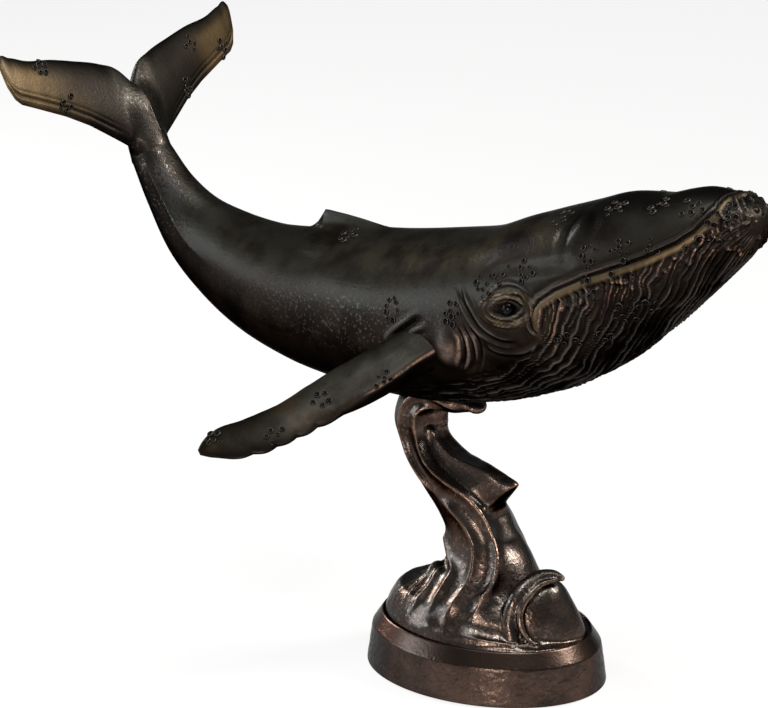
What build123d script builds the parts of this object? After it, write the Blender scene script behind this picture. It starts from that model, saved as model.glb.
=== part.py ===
"""Bronze whale on a breaking wave: a desk sculpture with an oval plinth.

Millimetres, +Z up, +X towards the whale's head, +Y to the whale's left.
The origin is the centre of the oval felt face that the sculpture stands on.
"""
import os
from math import cos, pi, radians, sin

from build123d import *

# Plinth, an oval block with a tapered side and a chamfered rim
plinth_length = 98.2
plinth_width = 77.2
plinth_height = 19.8
shoulder_height = 14.2
shoulder_inset = 2.0
top_inset = 5.8
top_rim = 0.6
foot_recess = 1.0
plinth_wall = 7.0
pocket_depth = 10.0

# Felt pad, let into the plinth's underside
felt_thickness = 2.0
felt_proud = 0.5
felt_margin = 3.5

# Foot screws, washers and ballast
screw_diameter = 5.0
screw_spacing = 36.0
screw_head_diameter = 8.5
screw_head_height = 3.2
screw_engagement = 11.0
washer_diameter = 10.0
washer_thickness = 1.0
screw_clearance = 0.25
ballast_clearance = 0.4
felt_clearance = 0.2
foot_clearance = 0.4

# Wave stand: height of the belly's seat, backward lean of the neck, and column sizes
seat_height = 102.0
neck_lean = 31.0
column_thickness = 29.0
column_width = 28.0
crest_reach = 29.0
crest_thickness = 12.0
crest_width = 18.0
side_crest_reach = 45.0
side_crest_thickness = 15.0
side_crest_width = 18.0
wavelet_height = 24.0
wavelet_length = 37.0
wavelet_width = 34.0

# Whale body: straight length from tail joint to snout, greatest depth and width, rises of the ends
body_length = 296.0
body_depth = 66.0
body_width = 66.0
tail_rise = 41.4
head_rise = 69.9
cast_wall = 4.0
glue_gap = 0.2

# Dorsal fin
dorsal_length = 47.0
dorsal_height = 5.2
dorsal_width = 9.0

# Pectoral fins: sweep backwards, droop downwards, twist of the blade about its own length,
# and how far the root lies below the middle of the flank, in degrees
fin_length = 90.5
fin_chord = 20.0
fin_thickness = 9.0
fin_sweep = 36.9
fin_droop = 21.5
fin_twist = 19.0
fin_root_turn = 14.0
fin_embed = 16.0

# Tail flukes: span across both tips, chord, thickness, tilt of their plane and length of the stock
fluke_span = 128.0
fluke_chord = 32.0
fluke_thickness = 8.4
fluke_tilt = 68.0
stock_length = 28.8

# Dowels, bush, stud and pin
fin_dowel_diameter = 4.0
fin_dowel_hold = 12.0
fin_boss_diameter = 14.0
fluke_dowel_diameter = 5.0
fluke_dowel_hold = 12.0
bush_diameter = 8.0
bush_length = 12.0
bush_sink = 1.5
belly_boss_diameter = 26.0
belly_boss_height = 18.0
stud_diameter = 5.0
stud_hold = 22.0
pin_diameter = 2.5
pin_offset = 7.0
pin_hold = 7.0
hole_clearance = 0.1
end_clearance = 0.3

# Eyes: bead, how far it is let in, and how far it lies above the middle of the flank, in degrees
eye_diameter = 5.2
eye_sink = 1.3
eye_rise_turn = 5.0
eye_clearance = 0.1

cut_overrun = 1.0
oval_steps = 16

# Heights of the stack, from the felt's face upwards
plinth_base = felt_proud
plinth_top = plinth_base + plinth_height
foot_base = plinth_top - foot_recess
pocket_roof = felt_thickness + pocket_depth
stand_height = seat_height - foot_base

# Body stations from tail to snout: place along the length, rise of the spine,
# size above the spine, size below it, and half width
body_shares = [
    (-0.0035, 1.00, 0.26, 0.26, 0.24),
    (0.034, 0.65, 0.35, 0.34, 0.29),
    (0.079, 0.36, 0.48, 0.46, 0.38),
    (0.139, 0.155, 0.605, 0.58, 0.49),
    (0.209, 0.03, 0.70, 0.70, 0.62),
    (0.287, 0.00, 0.79, 0.81, 0.76),
    (0.372, 0.01, 0.90, 0.90, 0.87),
    (0.470, 0.05, 0.96, 0.96, 0.95),
    (0.561, 0.122, 0.98, 0.98, 0.99),
    (0.632, 0.212, 0.96, 0.965, 1.00),
    (0.699, 0.332, 0.95, 0.945, 0.99),
    (0.757, 0.457, 0.905, 0.875, 0.95),
    (0.811, 0.584, 0.82, 0.76, 0.87),
    (0.875, 0.737, 0.65, 0.60, 0.74),
    (0.932, 0.879, 0.46, 0.44, 0.54),
    (0.970, 0.957, 0.285, 0.31, 0.35),
    (0.990, 0.985, 0.125, 0.135, 0.155),
]
lowest_station = 5
dorsal_station = 6
seat_station = 7
fin_station = 8
eye_station = 10
hollow_stations = slice(3, 15)
# The seat is a little ahead of the neck's furthest lean
seat_lean_share = 0.87


def spine_places():
    """Spine points of all stations, with the seat station's belly at the wave's crest."""
    places = []
    for index, (along, rise, up, down, side) in enumerate(body_shares):
        end_rise = tail_rise if index < lowest_station else head_rise
        places.append(Vector(along * body_length, 0, rise * end_rise))
    seat_down = body_shares[seat_station][3] * body_depth / 2
    slope = places[seat_station + 1] - places[seat_station - 1]
    belly = Plane(places[seat_station], x_dir=(0, 1, 0), z_dir=slope).from_local_coords((0, -seat_down, 0))
    shift = Vector(-neck_lean * seat_lean_share, 0, seat_height) - belly
    return [place + shift for place in places]


spine = spine_places()


def station_plane(index):
    """Plane across the spine: its x to the whale's left, its y to the back, its z to the head."""
    before = spine[max(index - 1, 0)]
    after = spine[min(index + 1, len(spine) - 1)]
    return Plane(spine[index], x_dir=(0, 1, 0), z_dir=after - before)


def oval_points(side, up, down):
    """Points round an oval: side to left and right, up above its centre and down below it."""
    points = []
    for step in range(oval_steps):
        turn = 2 * pi * step / oval_steps
        height = up if sin(turn) >= 0 else down
        points.append((side * cos(turn), height * sin(turn)))
    return points


def lofted(ovals):
    """Solid through ovals, each given as a plane, half width, size above and size below."""
    with BuildPart() as form:
        for plane, side, up, down in ovals:
            with BuildSketch(plane):
                with BuildLine():
                    Spline(*oval_points(side, up, down), periodic=True)
                make_face()
        loft()
    return form.part


def body_form(grow, stations=slice(None)):
    """The whale's body from tail joint to snout, larger all round by grow."""
    ovals = []
    for index in range(len(body_shares))[stations]:
        along, rise, up, down, side = body_shares[index]
        half_depth = body_depth / 2
        ovals.append((station_plane(index), side * body_width / 2 + grow, up * half_depth + grow,
                      down * half_depth + grow))
    return lofted(ovals)


def skin_place(index, turn):
    """Point of the skin at a station, turn degrees below the whale's right side."""
    along, rise, up, down, side = body_shares[index]
    across = -side * body_width / 2 * cos(radians(turn))
    height = -down * body_depth / 2 * sin(radians(turn))
    return station_plane(index).from_local_coords((across, height, 0))


def rod(plane, diameter, start, end):
    """Round bar along a plane's normal, from start to end."""
    with BuildPart() as bar:
        with BuildSketch(plane.offset(start)):
            Circle(diameter / 2)
        extrude(amount=end - start)
    return bar.part


body_solid = body_form(0)
body_clearance = body_form(glue_gap)
body_hollow = body_form(-cast_wall, hollow_stations)
wall_middle = body_form(-cast_wall / 2, hollow_stations)

# Axes of the joints between the castings
seat_plane = Plane((-neck_lean * seat_lean_share, 0, seat_height))
pin_plane = Plane(seat_plane.from_local_coords((0, pin_offset, 0)))
fin_root = skin_place(fin_station, fin_root_turn)
fin_axis = Vector(
    -sin(radians(fin_sweep)) * cos(radians(fin_droop)),
    -cos(radians(fin_sweep)) * cos(radians(fin_droop)),
    -sin(radians(fin_droop)),
)
forward = Vector(1, 0, 0)
level_chord = (forward - fin_axis * forward.dot(fin_axis)).normalized()
fin_plane = Plane(fin_root, x_dir=level_chord.rotate(Axis((0, 0, 0), fin_axis), -fin_twist), z_dir=fin_axis)
tail_plane = station_plane(0)
fluke_joint = Plane(tail_plane.origin, x_dir=(0, 1, 0), z_dir=-tail_plane.z_dir)

# Whale body: hollow casting, with bosses inside for the stud and the fins' dowels, rooted in mid-wall
belly_boss = rod(seat_plane, belly_boss_diameter, -body_depth / 2, belly_boss_height) & wall_middle
fin_boss = rod(fin_plane, fin_boss_diameter, -fin_dowel_hold - cast_wall, fin_dowel_hold) & wall_middle
fin_hole = rod(fin_plane, fin_dowel_diameter + 2 * hole_clearance, -fin_dowel_hold - end_clearance, fin_embed)
eye_place = skin_place(eye_station, -eye_rise_turn) + Vector(0, eye_sink, 0)

# Dorsal fin: place along its length behind the station, height above the back, half length, half width
dorsal_shares = [
    (-0.046, -1.00, 0.53, 0.55),
    (-0.051, 0.00, 0.415, 0.40),
    (-0.046, 0.50, 0.36, 0.28),
    (0.064, 0.70, 0.24, 0.20),
    (0.158, 0.80, 0.14, 0.16),
    (0.284, 1.00, 0.02, 0.07),
]
back_height = body_shares[dorsal_station][2] * body_depth / 2
back_place = station_plane(dorsal_station).from_local_coords((0, back_height, 0))
dorsal_ovals = []
for behind, height, length, width in dorsal_shares:
    middle = back_place + Vector(-behind * dorsal_length, 0, height * dorsal_height)
    half_length = length * dorsal_length
    dorsal_ovals.append((Plane(middle), half_length, width * dorsal_width, width * dorsal_width))
dorsal_fin = lofted(dorsal_ovals)

with BuildPart() as whale_body:
    add(body_solid)
    add(dorsal_fin)
    add(body_hollow, mode=Mode.SUBTRACT)
    add(belly_boss)
    add(fin_boss)
    mirror(fin_boss, about=Plane.XZ)
    add(fin_hole, mode=Mode.SUBTRACT)
    mirror(fin_hole, about=Plane.XZ, mode=Mode.SUBTRACT)
    add(rod(tail_plane, fluke_dowel_diameter + 2 * hole_clearance, -cut_overrun,
            fluke_dowel_hold + end_clearance), mode=Mode.SUBTRACT)
    add(rod(seat_plane, bush_diameter + 2 * hole_clearance, -cut_overrun - bush_sink,
            bush_sink + bush_length + end_clearance), mode=Mode.SUBTRACT)
    add(rod(pin_plane, pin_diameter + 2 * hole_clearance, -cut_overrun, pin_hold + end_clearance),
        mode=Mode.SUBTRACT)
    with Locations(eye_place, (eye_place.X, -eye_place.Y, eye_place.Z)):
        Sphere(eye_diameter / 2 + eye_clearance, mode=Mode.SUBTRACT)

# Eyes: dark glass beads, glued into round sockets
with BuildPart() as right_eye:
    with Locations(eye_place):
        Sphere(eye_diameter / 2)
with BuildPart() as left_eye:
    mirror(right_eye.part, about=Plane.XZ)

# Pectoral fins: place along the length, leading edge, trailing edge and half thickness
fin_shares = [
    (0.00, 0.76, -0.74, 0.70),
    (0.14, 0.68, -0.72, 0.60),
    (0.28, 0.50, -0.62, 0.50),
    (0.41, 0.42, -0.575, 0.42),
    (0.555, 0.455, -0.46, 0.35),
    (0.685, 0.51, -0.345, 0.30),
    (0.81, 0.485, -0.34, 0.24),
    (0.92, 0.295, -0.38, 0.17),
    (0.975, 0.11, -0.26, 0.12),
    (1.00, -0.02, -0.14, 0.06),
]
fin_ovals = []
for along, lead, trail, thick in fin_shares:
    middle = (lead + trail) / 2 * fin_chord
    half_chord = (lead - trail) / 2 * fin_chord
    place = fin_plane.from_local_coords((middle, 0, along * (fin_length + fin_embed) - fin_embed))
    half_thickness = thick * fin_thickness
    fin_ovals.append((Plane(place, x_dir=fin_plane.x_dir, z_dir=fin_axis), half_chord, half_thickness,
                      half_thickness))
fin_form = lofted(fin_ovals)

with BuildPart() as right_pectoral_fin:
    add(fin_form)
    add(body_clearance, mode=Mode.SUBTRACT)
    add(rod(fin_plane, fin_dowel_diameter + 2 * hole_clearance, -fin_embed, fin_dowel_hold + end_clearance),
        mode=Mode.SUBTRACT)
with BuildPart() as left_pectoral_fin:
    mirror(right_pectoral_fin.part, about=Plane.XZ)

with BuildPart() as right_fin_dowel:
    add(rod(fin_plane, fin_dowel_diameter, -fin_dowel_hold, fin_dowel_hold))
with BuildPart() as left_fin_dowel:
    mirror(right_fin_dowel.part, about=Plane.XZ)

# Tail flukes: the stock's ovals as places along it, half width and half depth of the joint's oval
stock_shares = [
    (0.34, 1.02, 0.76),
    (0.66, 0.92, 0.56),
    (0.94, 0.50, 0.34),
]
# The blade from the middle outwards: place across, leading edge, trailing edge, half thickness
blade_shares = [
    (0.00, -0.82, -0.03, 0.50),
    (0.09, -0.80, 0.18, 0.47),
    (0.22, -0.69, 0.30, 0.40),
    (0.42, -0.40, 0.41, 0.31),
    (0.59, -0.22, 0.49, 0.25),
    (0.79, -0.05, 0.55, 0.19),
    (0.91, 0.05, 0.63, 0.14),
    (0.985, 0.28, 0.65, 0.07),
]
fluke_axis = Vector(-cos(radians(fluke_tilt)), 0, sin(radians(fluke_tilt)))
notch = fluke_joint.origin + fluke_axis * stock_length
joint_side = body_shares[0][4] * body_width / 2
joint_depth = body_shares[0][2] * body_depth / 2
stock_ovals = [(fluke_joint.offset(glue_gap), joint_side, joint_depth, joint_depth)]
for along, side, depth in stock_shares:
    place = fluke_joint.origin + fluke_axis * along * stock_length
    stock_ovals.append((Plane(place, x_dir=(0, 1, 0), z_dir=fluke_axis), side * joint_side,
                        depth * joint_depth, depth * joint_depth))
blade_ovals = []
for across, lead, trail, thick in blade_shares:
    middle = notch + fluke_axis * (lead + trail) / 2 * fluke_chord + Vector(0, across * fluke_span / 2, 0)
    half_thickness = thick * fluke_thickness
    blade_ovals.append((Plane(middle, x_dir=fluke_axis, z_dir=(0, 1, 0)), (trail - lead) / 2 * fluke_chord,
                        half_thickness, half_thickness))
stock_form = lofted(stock_ovals)
blade_form = lofted(blade_ovals)

with BuildPart() as tail_flukes:
    add(stock_form)
    add(blade_form)
    mirror(blade_form, about=Plane.XZ)
    add(body_clearance, mode=Mode.SUBTRACT)
    add(rod(fluke_joint, fluke_dowel_diameter + 2 * hole_clearance, -cut_overrun,
            fluke_dowel_hold + end_clearance), mode=Mode.SUBTRACT)
with BuildPart() as fluke_dowel:
    add(rod(fluke_joint, fluke_dowel_diameter, -fluke_dowel_hold, fluke_dowel_hold))

# Threaded bush in the belly, the stud that carries the whale, and the pin that stops it turning
with BuildPart() as belly_insert:
    add(rod(seat_plane, bush_diameter, bush_sink, bush_sink + bush_length))
    add(rod(seat_plane, stud_diameter + 2 * hole_clearance, bush_sink - cut_overrun,
            bush_sink + bush_length + cut_overrun), mode=Mode.SUBTRACT)
with BuildPart() as belly_stud:
    add(rod(seat_plane, stud_diameter, -stud_hold, bush_sink + bush_length))
with BuildPart() as locating_pin:
    add(rod(pin_plane, pin_diameter, -pin_hold, pin_hold))

# Wave column from the foot to inside the belly: height, lean, flare from column to foot,
# thickness and width of the column
column_shares = [
    (0.00, 0.00, 1.00, 1.00, 1.00),
    (0.07, 0.00, 0.94, 1.00, 1.00),
    (0.14, 0.02, 0.72, 1.00, 1.00),
    (0.21, 0.03, 0.43, 1.00, 1.00),
    (0.285, 0.03, 0.18, 1.00, 1.00),
    (0.37, -0.05, 0.04, 1.00, 1.00),
    (0.47, -0.15, 0.00, 0.98, 0.97),
    (0.565, -0.35, 0.00, 0.90, 0.93),
    (0.66, -0.62, 0.00, 0.80, 0.88),
    (0.76, -0.90, 0.00, 0.70, 0.82),
    (0.855, -1.07, 0.00, 0.63, 0.75),
    (0.95, -1.03, 0.00, 0.57, 0.68),
    (1.06, -0.87, 0.00, 0.52, 0.60),
]
# Crest over the seat and crest at the side: reach, rise, half thickness and half width
crest_shares = [
    (0.00, -0.30, 0.50, 0.50),
    (0.35, -0.12, 0.38, 0.46),
    (0.68, -0.10, 0.27, 0.37),
    (0.92, -0.05, 0.19, 0.24),
    (1.00, -0.02, 0.08, 0.10),
]
side_crest_shares = [
    (0.00, 0.68, 0.50, 0.50),
    (0.30, 0.24, 0.48, 0.50),
    (0.55, -0.02, 0.42, 0.47),
    (0.75, -0.10, 0.32, 0.41),
    (0.90, -0.12, 0.20, 0.30),
    (1.00, -0.16, 0.07, 0.10),
]
side_crest_height_share = 0.69
# Wavelet at the front of the foot: height, place ahead, place to the left, half length, half width
wavelet_shares = [
    (0.00, 0.52, -0.04, 0.46, 0.50),
    (0.32, 0.54, -0.03, 0.42, 0.46),
    (0.61, 0.57, 0.00, 0.35, 0.37),
    (0.86, 0.63, 0.05, 0.24, 0.24),
    (1.00, 0.67, 0.09, 0.14, 0.13),
]


def along_path(points, sizes):
    """Ovals across a path in the plane of symmetry, their depth in that plane."""
    ovals = []
    for index, place in enumerate(points):
        course = points[min(index + 1, len(points) - 1)] - points[max(index - 1, 0)]
        thickness, width = sizes[index]
        ovals.append((Plane(place, x_dir=(0, 1, 0), z_dir=course), width, thickness, thickness))
    return ovals


foot_half_length = plinth_length / 2 - top_inset - top_rim - foot_clearance
foot_half_width = plinth_width / 2 - top_inset - top_rim - foot_clearance
column_points = []
column_sizes = []
for height, lean, flare, thickness, width in column_shares:
    column_points.append(Vector(lean * neck_lean, 0, foot_base + height * stand_height))
    half_thickness = thickness * column_thickness / 2
    half_width = width * column_width / 2
    column_sizes.append((half_thickness + flare * (foot_half_length - half_thickness),
                         half_width + flare * (foot_half_width - half_width)))
column_ovals = along_path(column_points, column_sizes)
# The foot's own oval lies flat on the plinth
column_ovals[0] = (Plane(column_points[0], x_dir=(0, 1, 0), z_dir=(0, 0, 1)), *column_ovals[0][1:])


def crest_ovals(root, shares, reach, thickness, width):
    """Ovals of a crest that runs forwards from its root."""
    points = [root + Vector(out * reach, 0, rise * thickness) for out, rise, thick, wide in shares]
    return along_path(points, [(thick * thickness, wide * width) for out, rise, thick, wide in shares])


crest_root = Vector(-neck_lean, 0, seat_height)
side_crest_root = Vector(-neck_lean, 0, foot_base + side_crest_height_share * stand_height)
wavelet_ovals = []
for height, ahead, left, length, width in wavelet_shares:
    middle = Vector(ahead * foot_half_length, left * foot_half_width, foot_base + height * wavelet_height)
    wavelet_ovals.append((Plane(middle), length * wavelet_length, width * wavelet_width, width * wavelet_width))
column_form = lofted(column_ovals)
crest_form = lofted(crest_ovals(crest_root, crest_shares, crest_reach, crest_thickness, crest_width))
side_crest_form = lofted(crest_ovals(side_crest_root, side_crest_shares, side_crest_reach,
                                     side_crest_thickness, side_crest_width))
wavelet_form = lofted(wavelet_ovals)
foot_plane = Plane((0, 0, foot_base))

with BuildPart() as wave_stand:
    add(column_form)
    add(crest_form)
    add(side_crest_form)
    add(wavelet_form)
    add(body_clearance, mode=Mode.SUBTRACT)
    add(rod(seat_plane, stud_diameter + 2 * hole_clearance, -stud_hold - end_clearance, bush_sink),
        mode=Mode.SUBTRACT)
    add(rod(pin_plane, pin_diameter + 2 * hole_clearance, -pin_hold - end_clearance, bush_sink),
        mode=Mode.SUBTRACT)
    with BuildSketch(foot_plane):
        with GridLocations(screw_spacing, 0, 2, 1):
            Circle(screw_diameter / 2 + hole_clearance)
    extrude(amount=screw_engagement + end_clearance, mode=Mode.SUBTRACT)

# Plinth: tapered oval, chamfered to the rim round the wave's foot, hollowed below for the ballast
with BuildPart() as plinth:
    with BuildSketch(Plane.XY.offset(plinth_base)):
        Ellipse(plinth_length / 2, plinth_width / 2)
    with BuildSketch(Plane.XY.offset(plinth_base + shoulder_height)):
        Ellipse(plinth_length / 2 - shoulder_inset, plinth_width / 2 - shoulder_inset)
    with BuildSketch(Plane.XY.offset(plinth_top)):
        Ellipse(plinth_length / 2 - top_inset, plinth_width / 2 - top_inset)
    loft(ruled=True)
    with BuildSketch(Plane.XY.offset(foot_base)):
        Ellipse(plinth_length / 2 - top_inset - top_rim, plinth_width / 2 - top_inset - top_rim)
    extrude(amount=foot_recess + cut_overrun, mode=Mode.SUBTRACT)
    with BuildSketch(Plane.XY):
        Ellipse(plinth_length / 2 - felt_margin, plinth_width / 2 - felt_margin)
    extrude(amount=felt_thickness, mode=Mode.SUBTRACT)
    with BuildSketch(Plane.XY):
        Ellipse(plinth_length / 2 - plinth_wall, plinth_width / 2 - plinth_wall)
    extrude(amount=pocket_roof, mode=Mode.SUBTRACT)
    with BuildSketch(Plane.XY):
        with GridLocations(screw_spacing, 0, 2, 1):
            Circle(screw_diameter / 2 + screw_clearance)
    extrude(amount=plinth_top, mode=Mode.SUBTRACT)

# Ballast: iron slab against the pocket's roof, with a counterbore for each screw
ballast_base = felt_thickness + end_clearance
counterbore_depth = screw_head_height + washer_thickness + end_clearance
washer_base = ballast_base + counterbore_depth - washer_thickness
with BuildPart() as ballast:
    with BuildSketch(Plane.XY.offset(ballast_base)):
        Ellipse(plinth_length / 2 - plinth_wall - ballast_clearance,
                plinth_width / 2 - plinth_wall - ballast_clearance)
    extrude(amount=pocket_roof - ballast_base)
    with BuildSketch(Plane.XY.offset(ballast_base)):
        with GridLocations(screw_spacing, 0, 2, 1):
            Circle(washer_diameter / 2 + screw_clearance)
    extrude(amount=counterbore_depth, mode=Mode.SUBTRACT)
    with BuildSketch(Plane.XY.offset(ballast_base)):
        with GridLocations(screw_spacing, 0, 2, 1):
            Circle(screw_diameter / 2 + screw_clearance)
    extrude(amount=pocket_roof - ballast_base, mode=Mode.SUBTRACT)

# Washers and screws
with BuildPart() as foot_washers:
    with BuildSketch(Plane.XY.offset(washer_base)):
        with GridLocations(screw_spacing, 0, 2, 1):
            Circle(washer_diameter / 2)
            Circle(screw_diameter / 2 + screw_clearance, mode=Mode.SUBTRACT)
    extrude(amount=washer_thickness)
with BuildPart() as foot_screws:
    with BuildSketch(Plane.XY.offset(washer_base - screw_head_height)):
        with GridLocations(screw_spacing, 0, 2, 1):
            Circle(screw_head_diameter / 2)
    extrude(amount=screw_head_height)
    with BuildSketch(Plane.XY.offset(washer_base)):
        with GridLocations(screw_spacing, 0, 2, 1):
            Circle(screw_diameter / 2)
    extrude(amount=foot_base + screw_engagement - washer_base)

# Felt pad
with BuildPart() as felt_pad:
    with BuildSketch(Plane.XY):
        Ellipse(plinth_length / 2 - felt_margin - felt_clearance,
                plinth_width / 2 - felt_margin - felt_clearance)
    extrude(amount=felt_thickness)

pieces = {
    "felt_pad": felt_pad,
    "plinth": plinth,
    "ballast": ballast,
    "foot_washers": foot_washers,
    "foot_screws": foot_screws,
    "wave_stand": wave_stand,
    "belly_stud": belly_stud,
    "locating_pin": locating_pin,
    "belly_insert": belly_insert,
    "whale_body": whale_body,
    "right_eye": right_eye,
    "left_eye": left_eye,
    "right_pectoral_fin": right_pectoral_fin,
    "left_pectoral_fin": left_pectoral_fin,
    "right_fin_dowel": right_fin_dowel,
    "left_fin_dowel": left_fin_dowel,
    "tail_flukes": tail_flukes,
    "fluke_dowel": fluke_dowel,
}
os.makedirs("parts", exist_ok=True)
for name, piece in pieces.items():
    piece.part.label = name
    export_step(piece.part, f"parts/{name}.step")
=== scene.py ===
"""Bronze whale on a breaking wave: finish and sculpted surfaces, in the order the sculpture is put together.

Metres, +Z up, +X towards the whale's head, +Y to the whale's left, standing on z = 0.
"""
import itertools
import math

import bpy
import numpy as np
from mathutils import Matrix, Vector


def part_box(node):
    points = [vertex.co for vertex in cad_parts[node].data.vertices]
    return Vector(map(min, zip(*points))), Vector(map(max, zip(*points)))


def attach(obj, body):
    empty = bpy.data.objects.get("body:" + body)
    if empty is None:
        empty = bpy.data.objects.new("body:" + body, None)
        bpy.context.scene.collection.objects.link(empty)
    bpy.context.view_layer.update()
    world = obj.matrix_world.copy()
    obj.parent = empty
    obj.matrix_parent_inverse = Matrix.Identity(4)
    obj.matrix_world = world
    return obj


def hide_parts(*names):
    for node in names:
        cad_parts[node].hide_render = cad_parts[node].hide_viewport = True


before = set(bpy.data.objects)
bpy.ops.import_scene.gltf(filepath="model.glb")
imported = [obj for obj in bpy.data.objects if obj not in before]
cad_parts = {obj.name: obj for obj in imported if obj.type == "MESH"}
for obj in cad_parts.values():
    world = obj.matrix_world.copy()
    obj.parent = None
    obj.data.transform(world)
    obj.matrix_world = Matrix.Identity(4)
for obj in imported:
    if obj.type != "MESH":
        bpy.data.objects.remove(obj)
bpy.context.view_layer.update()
mm = 0.001


# Felt pad
# A pressed wool felt oval, 2 mm thick, glued into the recess under the plinth.
# Half a millimetre of it stands proud, so that the bronze never touches the table.
def linear(hex_colour):
    """sRGB hex colour as linear red, green, blue and alpha, each channel through the sRGB curve."""
    channels = np.array([int(hex_colour[k:k + 2], 16) / 255 for k in (1, 3, 5)])
    curved = np.where(channels <= 0.04045, channels / 12.92, ((channels + 0.055) / 1.055) ** 2.4)
    return (*curved, 1.0)


def set_inputs(node, inputs):
    """Gives each socket, by name or number, a value, or another node's output to be linked to."""
    for socket, value in inputs.items():
        if isinstance(value, bpy.types.NodeSocket):
            node.id_data.links.new(value, node.inputs[socket])
        else:
            node.inputs[socket].default_value = value


def add_node(material, kind, inputs, **settings):
    """Adds one shader node, with its own settings and its inputs' values and links."""
    node = material.node_tree.nodes.new("ShaderNode" + kind)
    for name, value in settings.items():
        setattr(node, name, value)
    set_inputs(node, inputs)
    return node


def start_material(name):
    """An empty finish: the material, its principled shader and the piece's own coordinates."""
    material = bpy.data.materials.new(name)
    material.use_nodes = True
    place = add_node(material, "TexCoord", {}).outputs["Object"]
    return material, material.node_tree.nodes["Principled BSDF"], place


def finish_node(node, material):
    """Gives a node of the frame its finish, in every material slot that it has."""
    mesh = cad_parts[node].data
    mesh.materials.clear()
    mesh.materials.append(material)


# Pressed felt: matt, flecked with lighter wool, and lumpy where the fibres mat together
felt_fleck_mm = 1.6
felt, felt_shader, felt_place = start_material("pressed_wool_felt")
fleck = add_node(felt, "TexNoise", {"Vector": felt_place, "Scale": 1 / (felt_fleck_mm * mm), "Detail": 6.0})
fleck_colour = add_node(felt, "Mix", {0: fleck.outputs[0], 6: linear("#0d1410"), 7: linear("#2c3a31")},
                        data_type="RGBA")
fleck_bump = add_node(felt, "Bump", {"Height": fleck.outputs[0], "Distance": 0.3 * mm, "Strength": 0.8})
set_inputs(felt_shader, {"Base Color": fleck_colour.outputs[2], "Normal": fleck_bump.outputs[0],
                         "Roughness": 0.95, "Sheen Weight": 0.3})
finish_node("felt_pad", felt)


# Plinth
# An oval bronze casting with a tapered side, chamfered at the top to a thin rim round the wave's foot,
# and hollow below for the ballast. The side is left with the fine hammered skin of the mould.
def smooth_through(knots, values, at):
    """Cubic curve through values at knots; each knot's slope comes from its two neighbours."""
    knots, values = np.asarray(knots, float), np.asarray(values, float)
    slopes = np.gradient(values, knots, axis=0)
    k = np.clip(np.searchsorted(knots, at, side="right") - 1, 0, len(knots) - 2)
    span = knots[k + 1] - knots[k]
    f = np.clip((at - knots[k]) / span, 0, 1)
    if values.ndim > 1:
        span, f = span[..., None], f[..., None]
    return ((1 + 2 * f) * (1 - f) ** 2 * values[k] + f * (1 - f) ** 2 * span * slopes[k]
            + f * f * (3 - 2 * f) * values[k + 1] + f * f * (f - 1) * span * slopes[k + 1])


def ramp(value, low, high):
    """0 at low, 1 at high, with a smooth step between; low may be the larger of the two."""
    f = np.clip((value - low) / (high - low), 0, 1)
    return f * f * (3 - 2 * f)


def bell(value, middle, width):
    """1 at the middle, falling off on both sides as a bell of that width."""
    return np.exp(-((value - middle) / width) ** 2)


def grain_field(points, size, seed):
    """Random values from -1 to 1 on a cubic lattice of that size, blended smoothly between its corners."""
    random = np.random.default_rng(seed)
    order = random.permutation(256)
    values = random.uniform(-1, 1, 256)
    cell = np.floor(points / size).astype(int)
    f = points / size - cell
    f = f * f * (3 - 2 * f)
    total = 0
    for corner in itertools.product((0, 1), repeat=3):
        x, y, z = np.moveaxis(cell + corner, -1, 0)
        pick = order[(order[(order[x & 255] + y) & 255] + z) & 255]
        total = total + values[pick] * np.prod(np.where(corner, f, 1 - f), axis=-1)
    return total


def outward(points):
    """Unit normals of a grid whose columns run round: the cross product of its two directions,
    turned to point away from each row's middle."""
    along = np.gradient(points, axis=0)
    around = np.roll(points, -1, axis=1) - np.roll(points, 1, axis=1)
    normal = np.cross(along, around)
    normal /= np.maximum(np.linalg.norm(normal, axis=-1, keepdims=True), 1e-12)
    middle = points.mean(axis=1, keepdims=True)
    return normal * np.sign((normal * (points - middle)).sum())


def closed_faces(rows, columns):
    """Quads of a grid whose columns run round, with a fan of triangles to one pole at each end."""
    index = np.arange(rows * columns).reshape(rows, columns)
    after = np.roll(index, -1, axis=1)
    quads = np.stack([index[:-1], after[:-1], after[1:], index[1:]], -1).reshape(-1, 4)
    first = np.stack([after[0], index[0], np.full(columns, rows * columns)], -1)
    last = np.stack([index[-1], after[-1], np.full(columns, rows * columns + 1)], -1)
    return quads.tolist() + first.tolist() + last.tolist()


def closed_shell(points):
    """Vertices and outward faces of a closed grid: the grid's own points, then its two poles."""
    rows, columns = points.shape[:2]
    vertices = np.concatenate([points.reshape(-1, 3), points[:1].mean(1), points[-1:].mean(1)])
    faces = closed_faces(rows, columns)
    around = np.roll(points, -1, axis=1)
    volume = (np.cross(points[:-1], around[:-1]) * points[1:]).sum()
    if volume < 0:
        faces = [face[::-1] for face in faces]
    return vertices, faces


def make_piece(name, shells, replaced=()):
    """One object from closed shells, smooth shaded; it rides on the part and stands for the replaced nodes."""
    vertices, faces = [], []
    for shell_vertices, shell_faces in shells:
        start = sum(len(v) for v in vertices)
        vertices.append(shell_vertices)
        faces += [[start + corner for corner in face] for face in shell_faces]
    mesh = bpy.data.meshes.new(name)
    mesh.from_pydata(np.concatenate(vertices).tolist(), [], faces)
    mesh.polygons.foreach_set("use_smooth", np.ones(len(mesh.polygons), bool))
    piece = bpy.data.objects.new(name, mesh)
    bpy.context.scene.collection.objects.link(piece)
    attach(piece, "root")
    if replaced:
        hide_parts(*replaced)
    return piece


def paint(piece, name, values):
    """Stores one number for each vertex, for the finish to read."""
    attribute = piece.data.attributes.new(name, "FLOAT", "POINT")
    attribute.data.foreach_set("value", np.asarray(values, np.float32))


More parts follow.
